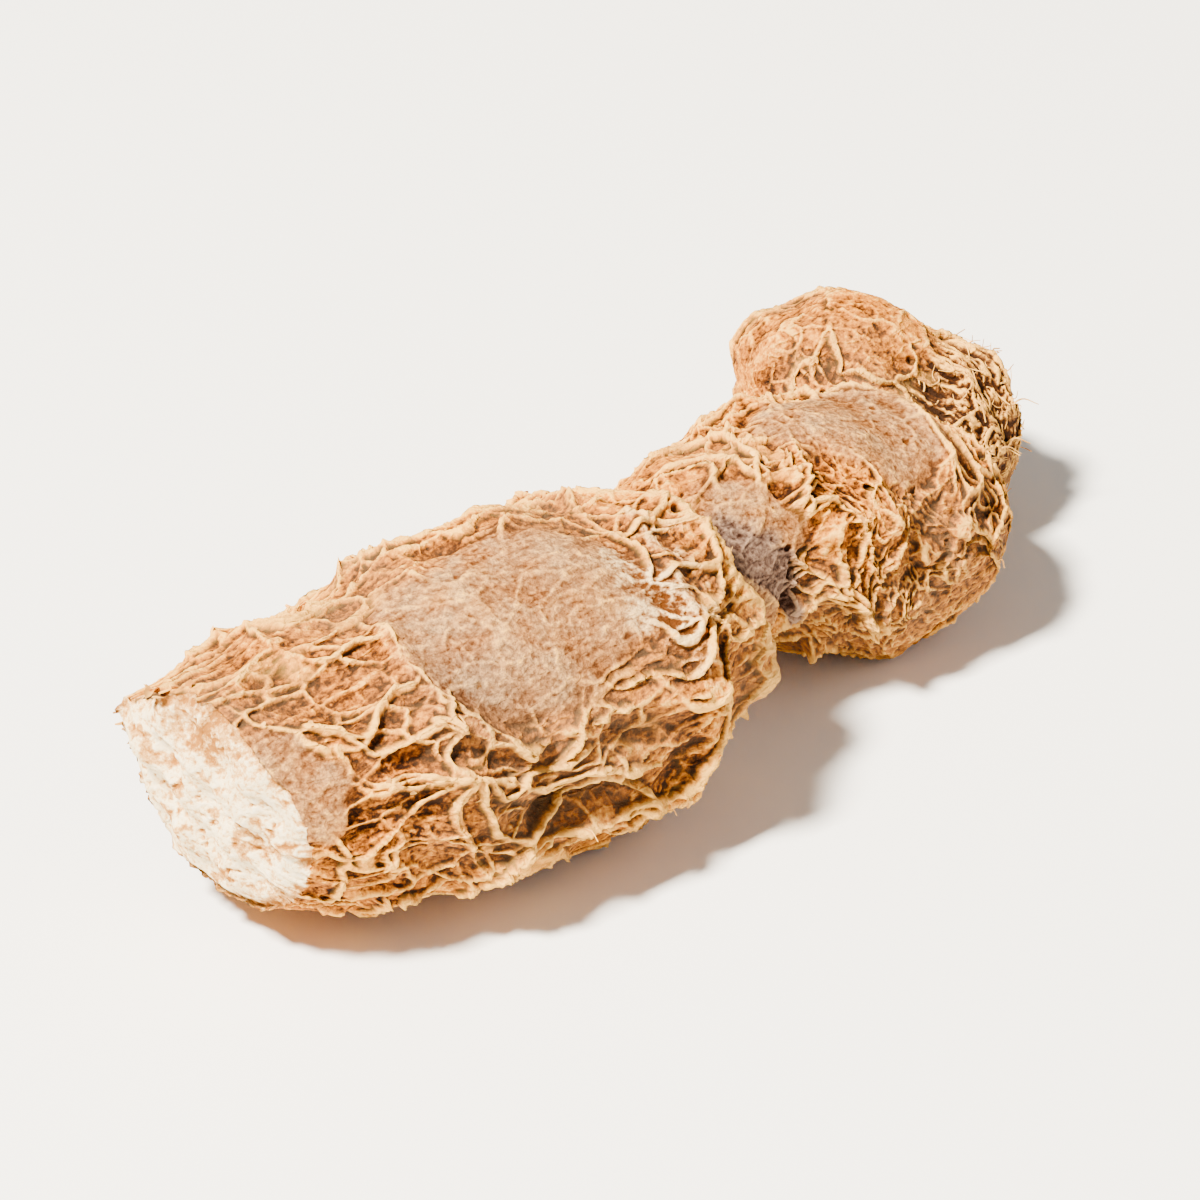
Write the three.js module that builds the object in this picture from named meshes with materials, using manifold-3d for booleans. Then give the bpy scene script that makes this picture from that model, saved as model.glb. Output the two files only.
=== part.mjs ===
// A dried ginger rhizome: one grown piece with three lobes, lying on its side.
// Millimetres, +Z up. The white broken end faces -X, and the origin is under the middle of the box.
import * as THREE from 'three';
import Module from 'manifold-3d';

// Lobe one, neck and lobe two, as stations along one bent axis.
// x, y and z are the middle of a section, and the four half-widths make its egg-shaped outline.
const FINGER_STATIONS = [
  { x: -13.4, y: -1.0, z: 9.0, front: 6.7, back: 6.6, top: 5.8, bottom: 5.4 },
  { x: -10.4, y: -0.9, z: 8.9, front: 7.6, back: 7.4, top: 6.6, bottom: 6.5 },
  { x: -5.4, y: -0.4, z: 8.7, front: 8.7, back: 8.3, top: 7.5, bottom: 7.5 },
  { x: 1.0, y: 0.0, z: 8.7, front: 9.3, back: 8.8, top: 8.2, bottom: 8.2 },
  { x: 7.0, y: 0.5, z: 9.1, front: 9.1, back: 8.6, top: 7.9, bottom: 8.6 },
  { x: 11.8, y: 1.5, z: 9.5, front: 7.2, back: 7.2, top: 6.2, bottom: 7.2 },
  { x: 16.1, y: 3.1, z: 10.0, front: 5.7, back: 5.4, top: 4.8, bottom: 5.4 },
  { x: 19.8, y: 4.4, z: 9.6, front: 5.5, back: 5.5, top: 5.0, bottom: 5.4 },
  { x: 23.6, y: 5.5, z: 8.7, front: 6.8, back: 6.8, top: 6.2, bottom: 6.7 },
  { x: 27.8, y: 5.4, z: 7.8, front: 7.2, back: 7.2, top: 6.0, bottom: 7.2 },
  { x: 31.8, y: 4.2, z: 7.3, front: 6.6, back: 6.4, top: 5.2, bottom: 6.7 },
  { x: 36.2, y: 2.4, z: 7.0, front: 5.8, back: 5.4, top: 4.4, bottom: 5.8 },
];

// Lobe three, which crosses behind lobe two.
const KNOB_STATIONS = [
  { x: 29.6, y: 17.6, z: 8.4, front: 4.4, back: 4.2, top: 4.0, bottom: 4.4 },
  { x: 31.9, y: 17.2, z: 8.3, front: 5.2, back: 5.0, top: 4.8, bottom: 5.2 },
  { x: 34.8, y: 15.4, z: 7.5, front: 6.0, back: 5.8, top: 5.8, bottom: 7.0 },
  { x: 37.3, y: 12.0, z: 6.3, front: 5.6, back: 5.4, top: 5.3, bottom: 5.8 },
  { x: 39.8, y: 7.4, z: 4.9, front: 4.2, back: 4.2, top: 4.4, bottom: 4.4 },
];

// The point of the stations' frame that becomes the part's origin. Its z is the height of the floor.
const ORIGIN = { x: 13.5, y: 5.7, z: 0.9 };

// How finely each lobe is drawn.
const FINGER_GRID = { rows: 66, capRows: 9, faceRows: 6, around: 62 };
const KNOB_GRID = { rows: 14, capRows: 7, around: 32 };

// How much of each lobe's length its round ends take, in mm.
const FINGER_CAP = 6.6;
const KNOB_CAP = 4.4;

// The broken end leans: its upper edge stands forward, and its front lies a little back.
const BREAK_LEAN = { up: -0.2, side: -0.15, fade: 4.5 };
const BREAK_DOME = 1.6;
const BREAK_GRAIN = [
  { size: 0.22, y: 1.9, z: 0.6, phase: 0 },
  { size: 0.22, y: -1.1, z: 2.3, phase: 2 },
];

// The raised net of the shrunken skin. Its cells are long on lobe one, and short and curly on lobe two,
// from the change on.
const NET = { lengthLobeOne: 6.6, lengthLobeTwo: 3.6, change: 27, across: 3.7, height: 0.75, seed: 4711 };
const KNOB_NET = { lengthLobeOne: 5.2, lengthLobeTwo: 5.2, change: 27, across: 3.9, height: 0.6, seed: 977 };
// The net's cells repeat after this many along each axis, and their points keep this far from the sides.
const NET_TABLE = 9;
const POINT_MARGIN = 0.1;
// The share of a cell that a ridge's slope takes.
const RIDGE_WIDTH = 0.5;
// The share of a ridge's height by which the plates are sunk, and how far plates differ in height.
const PLATE_SINK = 0.45;
const PLATE_HEIGHT = 0.3;

// Waves over the skin: size, change of phase for each mm along and for each radian round, and phase.
const NET_BEND_ALONG = [
  { size: 0.8, along: 0.35, around: 3, phase: 0 },
  { size: 0.45, along: -0.5, around: 5, phase: 1 },
];
const NET_BEND_AROUND = [
  { size: 0.1, along: 0.7, around: 2, phase: 0 },
  { size: 0.05, along: 1.7, around: 3, phase: 2 },
];
// Shallow swellings that break up the even form.
const LUMPS = [
  { size: 0.16, along: 0.42, around: 2, phase: 2.0 },
  { size: 0.16, along: 0.42, around: -2, phase: 0.6 },
  { size: 0.19, along: 0.95, around: -2, phase: 2.1 },
];
// Long soft folds of lobe three.
const FOLDS = [
  { size: 0.3, along: 0.3, around: 5, phase: 0 },
  { size: 0.2, along: -0.5, around: 8, phase: 0 },
];

// Main ridges and hollows. Each point is a place along the root in mm and round it in degrees,
// from the top (0) over the front (90) to the underside (180).
const RIDGES = [
  { height: 0.5, width: 0.8, path: [[4.8, -46], [9.8, -42], [13, -27], [18, -23], [22.2, -16]] },
  { height: 0.6, width: 0.7, path: [[8.6, 10], [8.1, 26], [8.6, 41], [9.6, 50], [12.1, 69]] },
  { height: 0.8, width: 0.8, path: [[7.3, 48], [9.6, 58], [12.1, 69], [14.6, 68], [18, 69], [21.5, 76]] },
  { height: 0.8, width: 0.8, path: [[4, 66], [6.2, 68], [9.9, 74], [12.7, 86], [15.6, 84], [19.3, 97]] },
  { height: 1.0, width: 1.0, path: [[5, 124], [8, 124], [11.4, 106], [17.4, 108], [21, 114]] },
  { height: -1.2, width: 1.1, path: [[13.2, 96], [15.5, 96], [17.6, 99]] },
  { height: 0.7, width: 0.8, path: [[2.5, 31], [4.2, 52], [7.3, 50]] },
  { height: 0.6, width: 0.8, path: [[36, -40], [41.6, -31], [45.4, -19], [47.2, 22], [48, 41]] },
  { height: 0.7, width: 0.8, path: [[35.5, 17], [34.5, 32], [35, 59], [34.8, 68], [35.3, 96], [40, 110]] },
  { height: 0.6, width: 0.7, path: [[34.7, 67], [38.6, 56], [41, 62]] },
  { height: 0.7, width: 0.8, path: [[32.6, 118], [34.4, 99], [40, 110], [44.5, 98]] },
];

// Smooth patches where the skin lies tight: middle along and round, and half sizes.
const PATCHES = [
  { along: 15.4, around: 24, halfAlong: 7.4, halfAround: 42 },
  { along: 42.0, around: 2, halfAlong: 6.4, halfAround: 36 },
  { along: 30.6, around: 60, halfAlong: 2.6, halfAround: 60 },
];
// The shares of the half size at which a patch starts to fade and ends.
const PATCH_EDGE = { from: 0.8, to: 1.05 };
// The shares of the net and of the swellings that a smooth patch takes away.
const PATCH_CALM = { net: 0.9, lumps: 0.5 };

// Two leaf rings make the collar between lobe one and the neck. The second falls off steeply to the neck.
const RING_ONE = { along: 22.6, sway: 2.1, turn: 20, height: 0.7, width: 0.8 };
const RING_TWO = { along: 26.9, sway: 0.7, turn: -10, height: 0.65, width: 0.9 };
const RING_WAVE = { size: 0.25, around: 4, phase: 1 };
const RING_TWO_DROP = 2.2;
// The skin bulges between the rings. Its edges are given in ring widths from each ring.
const COLLAR_BULGE = 0.3;
const BULGE_RISE = { from: -0.5, to: 0.5 };
const BULGE_FALL = { from: -0.2, to: 0.3 };
// How far the second ring reaches along the root on the front, how sharply that fades, and where round
// the root it starts.
const COLLAR_LEAN = { reach: 0.5, sharpness: 1.6, from: -1.0, to: -0.3 };
const NECK_HOLLOW = { depth: 0.7, along: 28.9, width: 1.7 };
// The pointed tip of skin that hangs from the collar.
const FLAP = { along: 26.3, around: 104, out: 0.8, reach: 0.7, halfAlong: 0.9, halfAcross: 1.1 };

// A round scar where another finger broke off, on the hidden side of lobe one: a mound with a sunk middle.
// The shares of its radius say where the mound and the sunk part start to fade and end.
const SCAR = { along: 12.5, around: -104, radius: 3.4, height: 1.0, sunk: 1.1 };
const SCAR_MOUND = { from: 0.75, to: 1.35 };
const SCAR_CUP = { from: 0.35, to: 0.75 };

// Short stubs of broken roots: along, round, height.
const STUBS = [
  [5.5, 152, 0.9], [10.5, -150, 1.0], [19.5, -70, 0.8], [24.4, -128, 0.9],
  [31.6, -78, 0.8], [37.5, 138, 0.8], [45.0, 74, 0.7], [47.6, 62, 0.9],
];
const STUB_RADIUS = 0.9;

// The underside is pressed flat within this turn from the lowest line, and keeps a share of the ridges.
const UNDERSIDE = { from: 0.25, to: 0.9 };
const UNDERSIDE_KEEPS = 0.3;

// The relief fades out towards an axis end, in mm from the axis, and towards the broken end, in mm along.
const POLE_FADE = { from: 0.3, to: 3.0 };
const BREAK_FADE = { length: 3, keeps: 0.4 };

// The mean radius, which turns degrees round the root into mm.
const MEAN_RADIUS = 7.4;

const DRIED_SKIN = new THREE.MeshStandardMaterial({ color: 0xcfa06a, roughness: 0.85, metalness: 0.0 });

const radians = THREE.MathUtils.degToRad;

// The multiplier and the modulus of the random number generator.
const DRAW_FACTOR = 16807;
const DRAW_RANGE = 2147483647;

function seededDraws(seed) {
  // The same draws on every run, each from 0 to 1.
  let state = seed;
  return () => {
    state = (state * DRAW_FACTOR) % DRAW_RANGE;
    return state / DRAW_RANGE;
  };
}

function smoothStep(low, high, value) {
  return THREE.MathUtils.smoothstep(value, low, high);
}

function fadeOut(edge, value) {
  // 1 up to where the edge starts, and 0 past where it ends.
  return 1 - smoothStep(edge.from, edge.to, value);
}

function bell(value) {
  return Math.exp(-value * value);
}

function waves(list, along, around) {
  let height = 0;
  for (const wave of list) {
    height += wave.size * Math.sin(wave.along * along + wave.around * around + wave.phase);
  }
  return height;
}

function turnBetween(a, b) {
  // The smallest turn from b to a, in radians.
  return Math.atan2(Math.sin(a - b), Math.cos(a - b));
}

function interpolateStations(stations, share) {
  // A smooth curve through the stations, with each end carried on in a straight line.
  const spans = stations.length - 1;
  const place = Math.min(Math.max(share * spans, 0), spans - 1e-9);
  const index = Math.floor(place);
  const f = place - index;
  const at = (i, key) => {
    if (i < 0) return 2 * stations[0][key] - stations[1][key];
    if (i > spans) return 2 * stations[spans][key] - stations[spans - 1][key];
    return stations[i][key];
  };
  const row = {};
  for (const key of Object.keys(stations[0])) {
    const [a, b, c, d] = [-1, 0, 1, 2].map((step) => at(index + step, key));
    row[key] = 0.5 * (2 * b + (c - a) * f + (2 * a - 5 * b + 4 * c - d) * f * f
      + (3 * b - a - 3 * c + d) * f * f * f);
  }
  return row;
}

function chordLengths(stations) {
  // The distance of each station from the first, along the axis.
  const lengths = [0];
  for (let i = 1; i < stations.length; i += 1) {
    const a = stations[i - 1];
    const b = stations[i];
    lengths.push(lengths[i - 1] + Math.hypot(b.x - a.x, b.y - a.y, b.z - a.z));
  }
  return lengths;
}

function shareAt(lengths, along) {
  // The share of the stations that lies at a distance along the axis.
  const after = lengths.findIndex((length) => length > along);
  if (after < 0) return 1;
  const before = after - 1;
  const between = (along - lengths[before]) / (lengths[after] - lengths[before]);
  return (before + between) / (lengths.length - 1);
}

function sectionFrame(stations, share) {
  // The section's middle, its half-widths, and the tangent, sideways and upward directions there.
  const step = 0.001;
  const row = interpolateStations(stations, share);
  const before = interpolateStations(stations, Math.max(share - step, 0));
  const after = interpolateStations(stations, Math.min(share + step, 1));
  const tangent = new THREE.Vector3(after.x - before.x, after.y - before.y, after.z - before.z).normalize();
  const side = new THREE.Vector3().crossVectors(tangent, new THREE.Vector3(0, 0, 1)).normalize();
  const up = new THREE.Vector3().crossVectors(side, tangent);
  return { row, middle: new THREE.Vector3(row.x, row.y, row.z), tangent, side, up };
}

function outline(section, around, scale, relief) {
  // The offset of one outline point from the section's middle, raised by the relief there.
  const sine = Math.sin(around);
  const cosine = Math.cos(around);
  const { row, side, up } = section;
  const width = (sine > 0 ? row.front : row.back) * scale;
  const height = (cosine > 0 ? row.top : row.bottom) * scale;
  const raised = relief(Math.hypot(sine * width, cosine * height));
  return new THREE.Vector3()
    .addScaledVector(side, sine * (width + raised))
    .addScaledVector(up, cosine * (height + raised));
}

function makeCells(seed) {
  // One wandering point in each cell of a block of cells, with a level of its own.
  const draw = seededDraws(seed);
  const cells = [];
  const place = () => POINT_MARGIN + (1 - 2 * POINT_MARGIN) * draw();
  for (let i = 0; i < NET_TABLE ** 3; i += 1) {
    cells.push({ u: place(), v: place(), w: place(), level: draw() - 0.5 });
  }
  return cells;
}

function readCells(cells, u, v, w) {
  // How near a place is to the border between its two nearest cells, and its own cell's level.
  const wrap = (index) => ((index % NET_TABLE) + NET_TABLE) % NET_TABLE;
  const [baseU, baseV, baseW] = [Math.floor(u), Math.floor(v), Math.floor(w)];
  let nearest = Infinity;
  let second = Infinity;
  let level = 0;
  for (let i = baseU - 1; i <= baseU + 1; i += 1) {
    for (let j = baseV - 1; j <= baseV + 1; j += 1) {
      for (let k = baseW - 1; k <= baseW + 1; k += 1) {
        const cell = cells[(wrap(i) * NET_TABLE + wrap(j)) * NET_TABLE + wrap(k)];
        const distance = Math.hypot(i + cell.u - u, j + cell.v - v, k + cell.w - w);
        if (distance < nearest) {
          second = nearest;
          nearest = distance;
          level = cell.level;
        } else if (distance < second) {
          second = distance;
        }
      }
    }
  }
  return { border: second - nearest, level };
}

const FINGER_CELLS = makeCells(NET.seed);
const KNOB_CELLS = makeCells(KNOB_NET.seed);

function netRelief(net, cells, along, around, reach) {
  // Raised borders between plates, along bent lines, so that no two cells are alike.
  // A place in a section is its distance from the axis and its turn.
  const bentAlong = along + waves(NET_BEND_ALONG, along, around);
  const bentAround = around + waves(NET_BEND_AROUND, along, around);
  const beyond = Math.max(bentAlong - net.change, 0);
  const u = (bentAlong - beyond) / net.lengthLobeOne + beyond / net.lengthLobeTwo;
  const v = (Math.sin(bentAround) * reach) / net.across;
  const w = (Math.cos(bentAround) * reach) / net.across;
  const { border, level } = readCells(cells, u, v, w);
  const crest = 1 - smoothStep(0, RIDGE_WIDTH, border);
  return net.height * (crest - PLATE_SINK) + PLATE_HEIGHT * level;
}

function distanceToPath(path, along, around) {
  // The distance in mm, over the skin, to a line of places on it.
  let nearest = Infinity;
  for (let i = 1; i < path.length; i += 1) {
    const [alongA, degreesA] = path[i - 1];
    const [alongB, degreesB] = path[i];
    const acrossA = turnBetween(around, radians(degreesA)) * MEAN_RADIUS;
    const runAcross = radians(degreesB - degreesA) * MEAN_RADIUS;
    const runAlong = alongB - alongA;
    const toPoint = along - alongA;
    const share = (toPoint * runAlong + acrossA * runAcross) / (runAlong * runAlong + runAcross * runAcross);
    const held = Math.min(Math.max(share, 0), 1);
    nearest = Math.min(nearest, Math.hypot(toPoint - held * runAlong, acrossA - held * runAcross));
  }
  return nearest;
}

function mainRidges(along, around) {
  let height = 0;
  for (const ridge of RIDGES) {
    height += ridge.height * bell(distanceToPath(ridge.path, along, around) / ridge.width);
  }
  return height;
}

function patchShare(along, around) {
  // 1 in the middle of a smooth patch, 0 outside all of them.
  let share = 0;
  for (const patch of PATCHES) {
    const reach = Math.hypot((along - patch.along) / patch.halfAlong,
      turnBetween(around, radians(patch.around)) / radians(patch.halfAround));
    share = Math.max(share, fadeOut(PATCH_EDGE, reach));
  }
  return share;
}

function ringPlace(ring, around) {
  const wave = RING_WAVE.size * Math.sin(RING_WAVE.around * around + RING_WAVE.phase);
  return ring.along + ring.sway * Math.cos(around + radians(ring.turn)) + wave;
}

function collarRelief(along, around) {
  const one = (along - ringPlace(RING_ONE, around)) / RING_ONE.width;
  const two = (along - ringPlace(RING_TWO, around)) / RING_TWO.width;
  const ringTwo = bell(two > 0 ? two * RING_TWO_DROP : two);
  const between = (1 - fadeOut(BULGE_RISE, one)) * fadeOut(BULGE_FALL, two);
  const neck = bell((along - NECK_HOLLOW.along) / NECK_HOLLOW.width);
  return RING_ONE.height * bell(one) + RING_TWO.height * ringTwo + COLLAR_BULGE * between
    - NECK_HOLLOW.depth * neck;
}

function flapShare(along, around) {
  const across = turnBetween(around, radians(FLAP.around)) * MEAN_RADIUS;
  return bell((along - FLAP.along) / FLAP.halfAlong) * bell(across / FLAP.halfAcross);
}

function scarRelief(along, around) {
  const across = turnBetween(around, radians(SCAR.around)) * MEAN_RADIUS;
  const reach = Math.hypot(along - SCAR.along, across) / SCAR.radius;
  return SCAR.height * fadeOut(SCAR_MOUND, reach) - SCAR.sunk * fadeOut(SCAR_CUP, reach);
}

function stubRelief(along, around) {
  let height = 0;
  for (const [stubAlong, degrees, stubHeight] of STUBS) {
    const across = turnBetween(around, radians(degrees)) * MEAN_RADIUS;
    const reach = Math.hypot(along - stubAlong, across) / STUB_RADIUS;
    height += stubHeight * Math.exp(-(reach ** 4));
  }
  return height;
}

function undersideKeeps(around) {
  // The share of the ridges that is left at a turn: all of them from the sides up.
  const lifted = smoothStep(UNDERSIDE.from, UNDERSIDE.to, Math.abs(turnBetween(around, Math.PI)));
  return UNDERSIDE_KEEPS + (1 - UNDERSIDE_KEEPS) * lifted;
}

function fingerRelief(along, around, reach) {
  // The whole relief of lobe one, neck and lobe two at a place, in mm.
  const tight = patchShare(along, around);
  const net = netRelief(NET, FINGER_CELLS, along, around, reach) * (1 - PATCH_CALM.net * tight);
  const fine = net + mainRidges(along, around) + stubRelief(along, around);
  const broad = waves(LUMPS, along, around) * (1 - PATCH_CALM.lumps * tight) + collarRelief(along, around)
    + scarRelief(along, around) + FLAP.out * flapShare(along, around);
  const fromBreak = BREAK_FADE.keeps + (1 - BREAK_FADE.keeps) * smoothStep(0, BREAK_FADE.length, along);
  return (fine * undersideKeeps(around) + broad) * (1 - fadeOut(POLE_FADE, reach)) * fromBreak;
}

function fingerLean(along, around) {
  // How far the collar's lip and the pointed flap reach along the root.
  const two = (along - ringPlace(RING_TWO, around)) / RING_TWO.width;
  const lip = Math.exp(-two * two * COLLAR_LEAN.sharpness);
  const onFront = smoothStep(COLLAR_LEAN.from, COLLAR_LEAN.to, turnBetween(around, 0));
  const offFloor = smoothStep(UNDERSIDE.from, UNDERSIDE.to, Math.abs(turnBetween(around, Math.PI)));
  return COLLAR_LEAN.reach * lip * onFront * offFloor + FLAP.reach * flapShare(along, around);
}

function knobRelief(along, around, reach) {
  // The relief of lobe three: the net, long soft folds, and swellings.
  const relief = netRelief(KNOB_NET, KNOB_CELLS, along, around, reach) + waves(FOLDS, along, around)
    + waves(LUMPS, along, around);
  return relief * undersideKeeps(around) * (1 - fadeOut(POLE_FADE, reach));
}

function settle(point) {
  // Shifts a point to the part's own frame, and presses what would sink into the floor flat on it.
  return new THREE.Vector3(point.x - ORIGIN.x, point.y - ORIGIN.y, Math.max(point.z - ORIGIN.z, 0));
}

function creaseAcross(a, b, c, d) {
  // How sharply a quad folds along its diagonal from a to c: 1 when flat, lower when creased.
  const normalOf = (p, q, r) => q.clone().sub(p).cross(r.clone().sub(p)).normalize();
  return normalOf(a, b, c).dot(normalOf(a, c, d));
}

function closeRings(rings, startPole, endPole) {
  // One closed mesh from a row of rings and the two poles that shut its ends.
  // Each quad is split along the diagonal that folds it less, so that ridges run clean.
  const around = rings[0].length;
  const points = [startPole, ...rings.flat(), endPole];
  const at = (row, j) => 1 + row * around + (j % around);
  const index = [];
  for (let j = 0; j < around; j += 1) {
    index.push(0, at(0, j + 1), at(0, j));
    index.push(points.length - 1, at(rings.length - 1, j), at(rings.length - 1, j + 1));
  }
  for (let row = 0; row < rings.length - 1; row += 1) {
    for (let j = 0; j < around; j += 1) {
      const [a, b, c, d] = [at(row, j), at(row, j + 1), at(row + 1, j + 1), at(row + 1, j)];
      const corners = [a, b, c, d].map((corner) => points[corner]);
      const turned = [...corners.slice(1), corners[0]];
      if (creaseAcross(...corners) > creaseAcross(...turned)) index.push(a, b, c, a, c, d);
      else index.push(a, b, d, b, c, d);
    }
  }
  const geometry = new THREE.BufferGeometry();
  geometry.setAttribute('position', new THREE.Float32BufferAttribute(points.flatMap((p) => p.toArray()), 3));
  geometry.setIndex(index);
  return geometry;
}

function breakShift(along, offset) {
  // The lean of the broken end, as a shift along the root that fades out behind it.
  const depth = bell(along / BREAK_LEAN.fade);
  return (BREAK_LEAN.up * Math.max(offset.z, 0) + BREAK_LEAN.side * offset.y) * depth;
}

function brokenFace(section, rim) {
  // Rings from the middle of the chalky broken end out to its rim, a little domed and grainy.
  const rings = [];
  const count = FINGER_GRID.faceRows;
  for (let i = 1; i < count; i += 1) {
    const share = i / count;
    rings.push(rim.map((point) => {
      let out = BREAK_DOME * (1 - share * share);
      for (const wave of BREAK_GRAIN) {
        const phase = share * (wave.y * point.y + wave.z * point.z) + wave.phase;
        out += wave.size * Math.sin(phase) * (1 - share ** 4);
      }
      return section.middle.clone().lerp(point, share).addScaledVector(section.tangent, -out);
    }));
  }
  return rings;
}

function roundedEnd(start, end, rows) {
  // Places along an end that closes like a quarter of an ellipse, from full size to nothing.
  const places = [];
  for (let i = 0; i < rows; i += 1) {
    const turn = (i / rows) * (Math.PI / 2);
    places.push({ along: start + (end - start) * Math.sin(turn), scale: Math.cos(turn) });
  }
  return places;
}

function evenRows(start, end, rows) {
  return Array.from({ length: rows }, (_, i) => ({ along: start + ((end - start) * i) / rows, scale: 1 }));
}

function sweepRings(stations, lengths, places, around, relief, shift) {
  // One ring of outline points for each place along the axis.
  return places.map(({ along, scale }) => {
    const section = sectionFrame(stations, shareAt(lengths, along));
    return Array.from({ length: around }, (_, j) => {
      const turn = (j / around) * 2 * Math.PI;
      const offset = outline(section, turn, scale, (reach) => relief(along, turn, reach));
      return section.middle.clone().add(offset).addScaledVector(section.tangent, shift(along, turn, offset));
    });
  });
}

function fingerGeometry() {
  const lengths = chordLengths(FINGER_STATIONS);
  const { rows, capRows, around } = FINGER_GRID;
  const end = lengths.at(-1);
  const places = [...evenRows(0, end - FINGER_CAP, rows), ...roundedEnd(end - FINGER_CAP, end, capRows)];
  const shift = (along, turn, offset) => fingerLean(along, turn) + breakShift(along, offset);
  const rings = sweepRings(FINGER_STATIONS, lengths, places, around, fingerRelief, shift);
  const start = sectionFrame(FINGER_STATIONS, 0);
  const startPole = start.middle.clone().addScaledVector(start.tangent, -BREAK_DOME);
  const endPole = sectionFrame(FINGER_STATIONS, 1).middle;
  const settled = [...brokenFace(start, rings[0]), ...rings].map((ring) => ring.map(settle));
  return closeRings(settled, settle(startPole), settle(endPole));
}

function knobGeometry() {
  const lengths = chordLengths(KNOB_STATIONS);
  const { rows, capRows, around } = KNOB_GRID;
  const end = lengths.at(-1);
  const places = [
    ...roundedEnd(KNOB_CAP, 0, capRows).slice(1).reverse(),
    ...evenRows(KNOB_CAP, end - KNOB_CAP, rows),
    ...roundedEnd(end - KNOB_CAP, end, capRows),
  ];
  const rings = sweepRings(KNOB_STATIONS, lengths, places, around, knobRelief, () => 0);
  const [startPole, endPole] = [0, 1].map((share) => settle(sectionFrame(KNOB_STATIONS, share).middle));
  return closeRings(rings.map((ring) => ring.map(settle)), startPole, endPole);
}

const wasm = await Module();
wasm.setup();

function toSolid(geometry) {
  const vertProperties = new Float32Array(geometry.attributes.position.array);
  const triVerts = new Uint32Array(geometry.index.array);
  return new wasm.Manifold(new wasm.Mesh({ numProp: 3, vertProperties, triVerts }));
}

function outerShell(triVerts, pointCount) {
  // The triangles of the largest joined surface. What it leaves out is the skin of a small hollow
  // that the join of two rough lobes seals, so the hollow is filled.
  const group = Array.from({ length: pointCount }, (_, i) => i);
  const rootOf = (i) => {
    let root = i;
    while (group[root] !== root) root = group[root];
    group[i] = root;
    return root;
  };
  for (let i = 0; i < triVerts.length; i += 3) {
    group[rootOf(triVerts[i])] = rootOf(triVerts[i + 1]);
    group[rootOf(triVerts[i + 1])] = rootOf(triVerts[i + 2]);
  }
  const shells = new Map();
  for (let i = 0; i < triVerts.length; i += 3) {
    const root = rootOf(triVerts[i]);
    if (!shells.has(root)) shells.set(root, []);
    shells.get(root).push(triVerts[i], triVerts[i + 1], triVerts[i + 2]);
  }
  return [...shells.values()].reduce((most, shell) => (shell.length > most.length ? shell : most));
}

function toGeometry(solid) {
  const mesh = solid.getMesh();
  const points = new Float32Array(mesh.vertProperties);
  const geometry = new THREE.BufferGeometry();
  geometry.setAttribute('position', new THREE.BufferAttribute(points, 3));
  geometry.setIndex(outerShell(mesh.triVerts, points.length / 3));
  geometry.computeVertexNormals();
  return geometry;
}

function gingerRoot() {
  const solid = toSolid(fingerGeometry()).add(toSolid(knobGeometry()));
  const mesh = new THREE.Mesh(toGeometry(solid), DRIED_SKIN);
  mesh.name = 'ginger_root';
  return mesh;
}

const model = new THREE.Group();
model.add(gingerRoot());

export default model;
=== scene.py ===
"""A dried ginger root lying on its side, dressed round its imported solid.

The plain form, its main ridges and its net of wrinkles repeat the solid's own named values, in
millimetres. Finer wrinkles, pits, frayed skin and colour are added here, and everything ends in metres.
"""

import functools
import logging
import math
from concurrent.futures import ThreadPoolExecutor
from dataclasses import dataclass, field
from enum import Enum

import bpy
import numpy as np
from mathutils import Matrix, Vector

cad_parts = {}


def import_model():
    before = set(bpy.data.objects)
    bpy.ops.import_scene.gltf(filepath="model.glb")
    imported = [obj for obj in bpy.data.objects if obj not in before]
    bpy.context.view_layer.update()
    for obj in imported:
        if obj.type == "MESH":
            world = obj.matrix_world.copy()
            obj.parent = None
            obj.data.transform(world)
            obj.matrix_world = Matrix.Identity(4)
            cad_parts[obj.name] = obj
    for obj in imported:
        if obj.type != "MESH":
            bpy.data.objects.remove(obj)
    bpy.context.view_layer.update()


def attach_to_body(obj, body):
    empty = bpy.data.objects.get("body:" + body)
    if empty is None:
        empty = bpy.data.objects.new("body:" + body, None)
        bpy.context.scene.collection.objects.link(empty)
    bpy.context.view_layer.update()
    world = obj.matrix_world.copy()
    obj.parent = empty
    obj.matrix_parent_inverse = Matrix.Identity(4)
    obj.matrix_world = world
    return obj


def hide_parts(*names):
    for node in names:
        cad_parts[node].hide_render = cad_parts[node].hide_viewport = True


LOG = logging.getLogger("ginger_root")

MM = 0.001
NODE = "ginger_root"
BODY = "root"
ORIGIN = (13.5, 5.7, 0.9)
MEAN_RADIUS = 7.4
LOW_SPECULAR = 0.06
BLACK = (0, 0, 0)
WHITE = (1, 1, 1)
Grid = np.ndarray
Colour = tuple[float, float, float]
Socket = bpy.types.NodeSocket
NodeInput = Socket | Colour | float
NodeInputs = dict[str | int, NodeInput]


class Lobe(Enum):
    """The three skins that cover the root, from the broken end on."""

    ONE = "lobe_one_skin"
    TWO = "lobe_two_skin"
    THREE = "lobe_three_skin"


SKIN_TRIANGLES = {Lobe.ONE: 195000, Lobe.TWO: 195000, Lobe.THREE: 120000}


def smooth_step(low: float, high: float, value: Grid) -> Grid:
    """Eases from 0 at low to 1 at high."""
    share = np.clip((value - low) / (high - low), 0, 1)
    return share * share * (3 - 2 * share)


def turn_between(a: Grid, b: Grid | float) -> Grid:
    """Gives the smallest turn from b to a, in radians."""
    return np.arctan2(np.sin(a - b), np.cos(a - b))


def bell(value: Grid) -> Grid:
    """A bell curve: 1 at 0, and close to 0 past 2."""
    return np.exp(-value * value)


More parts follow.
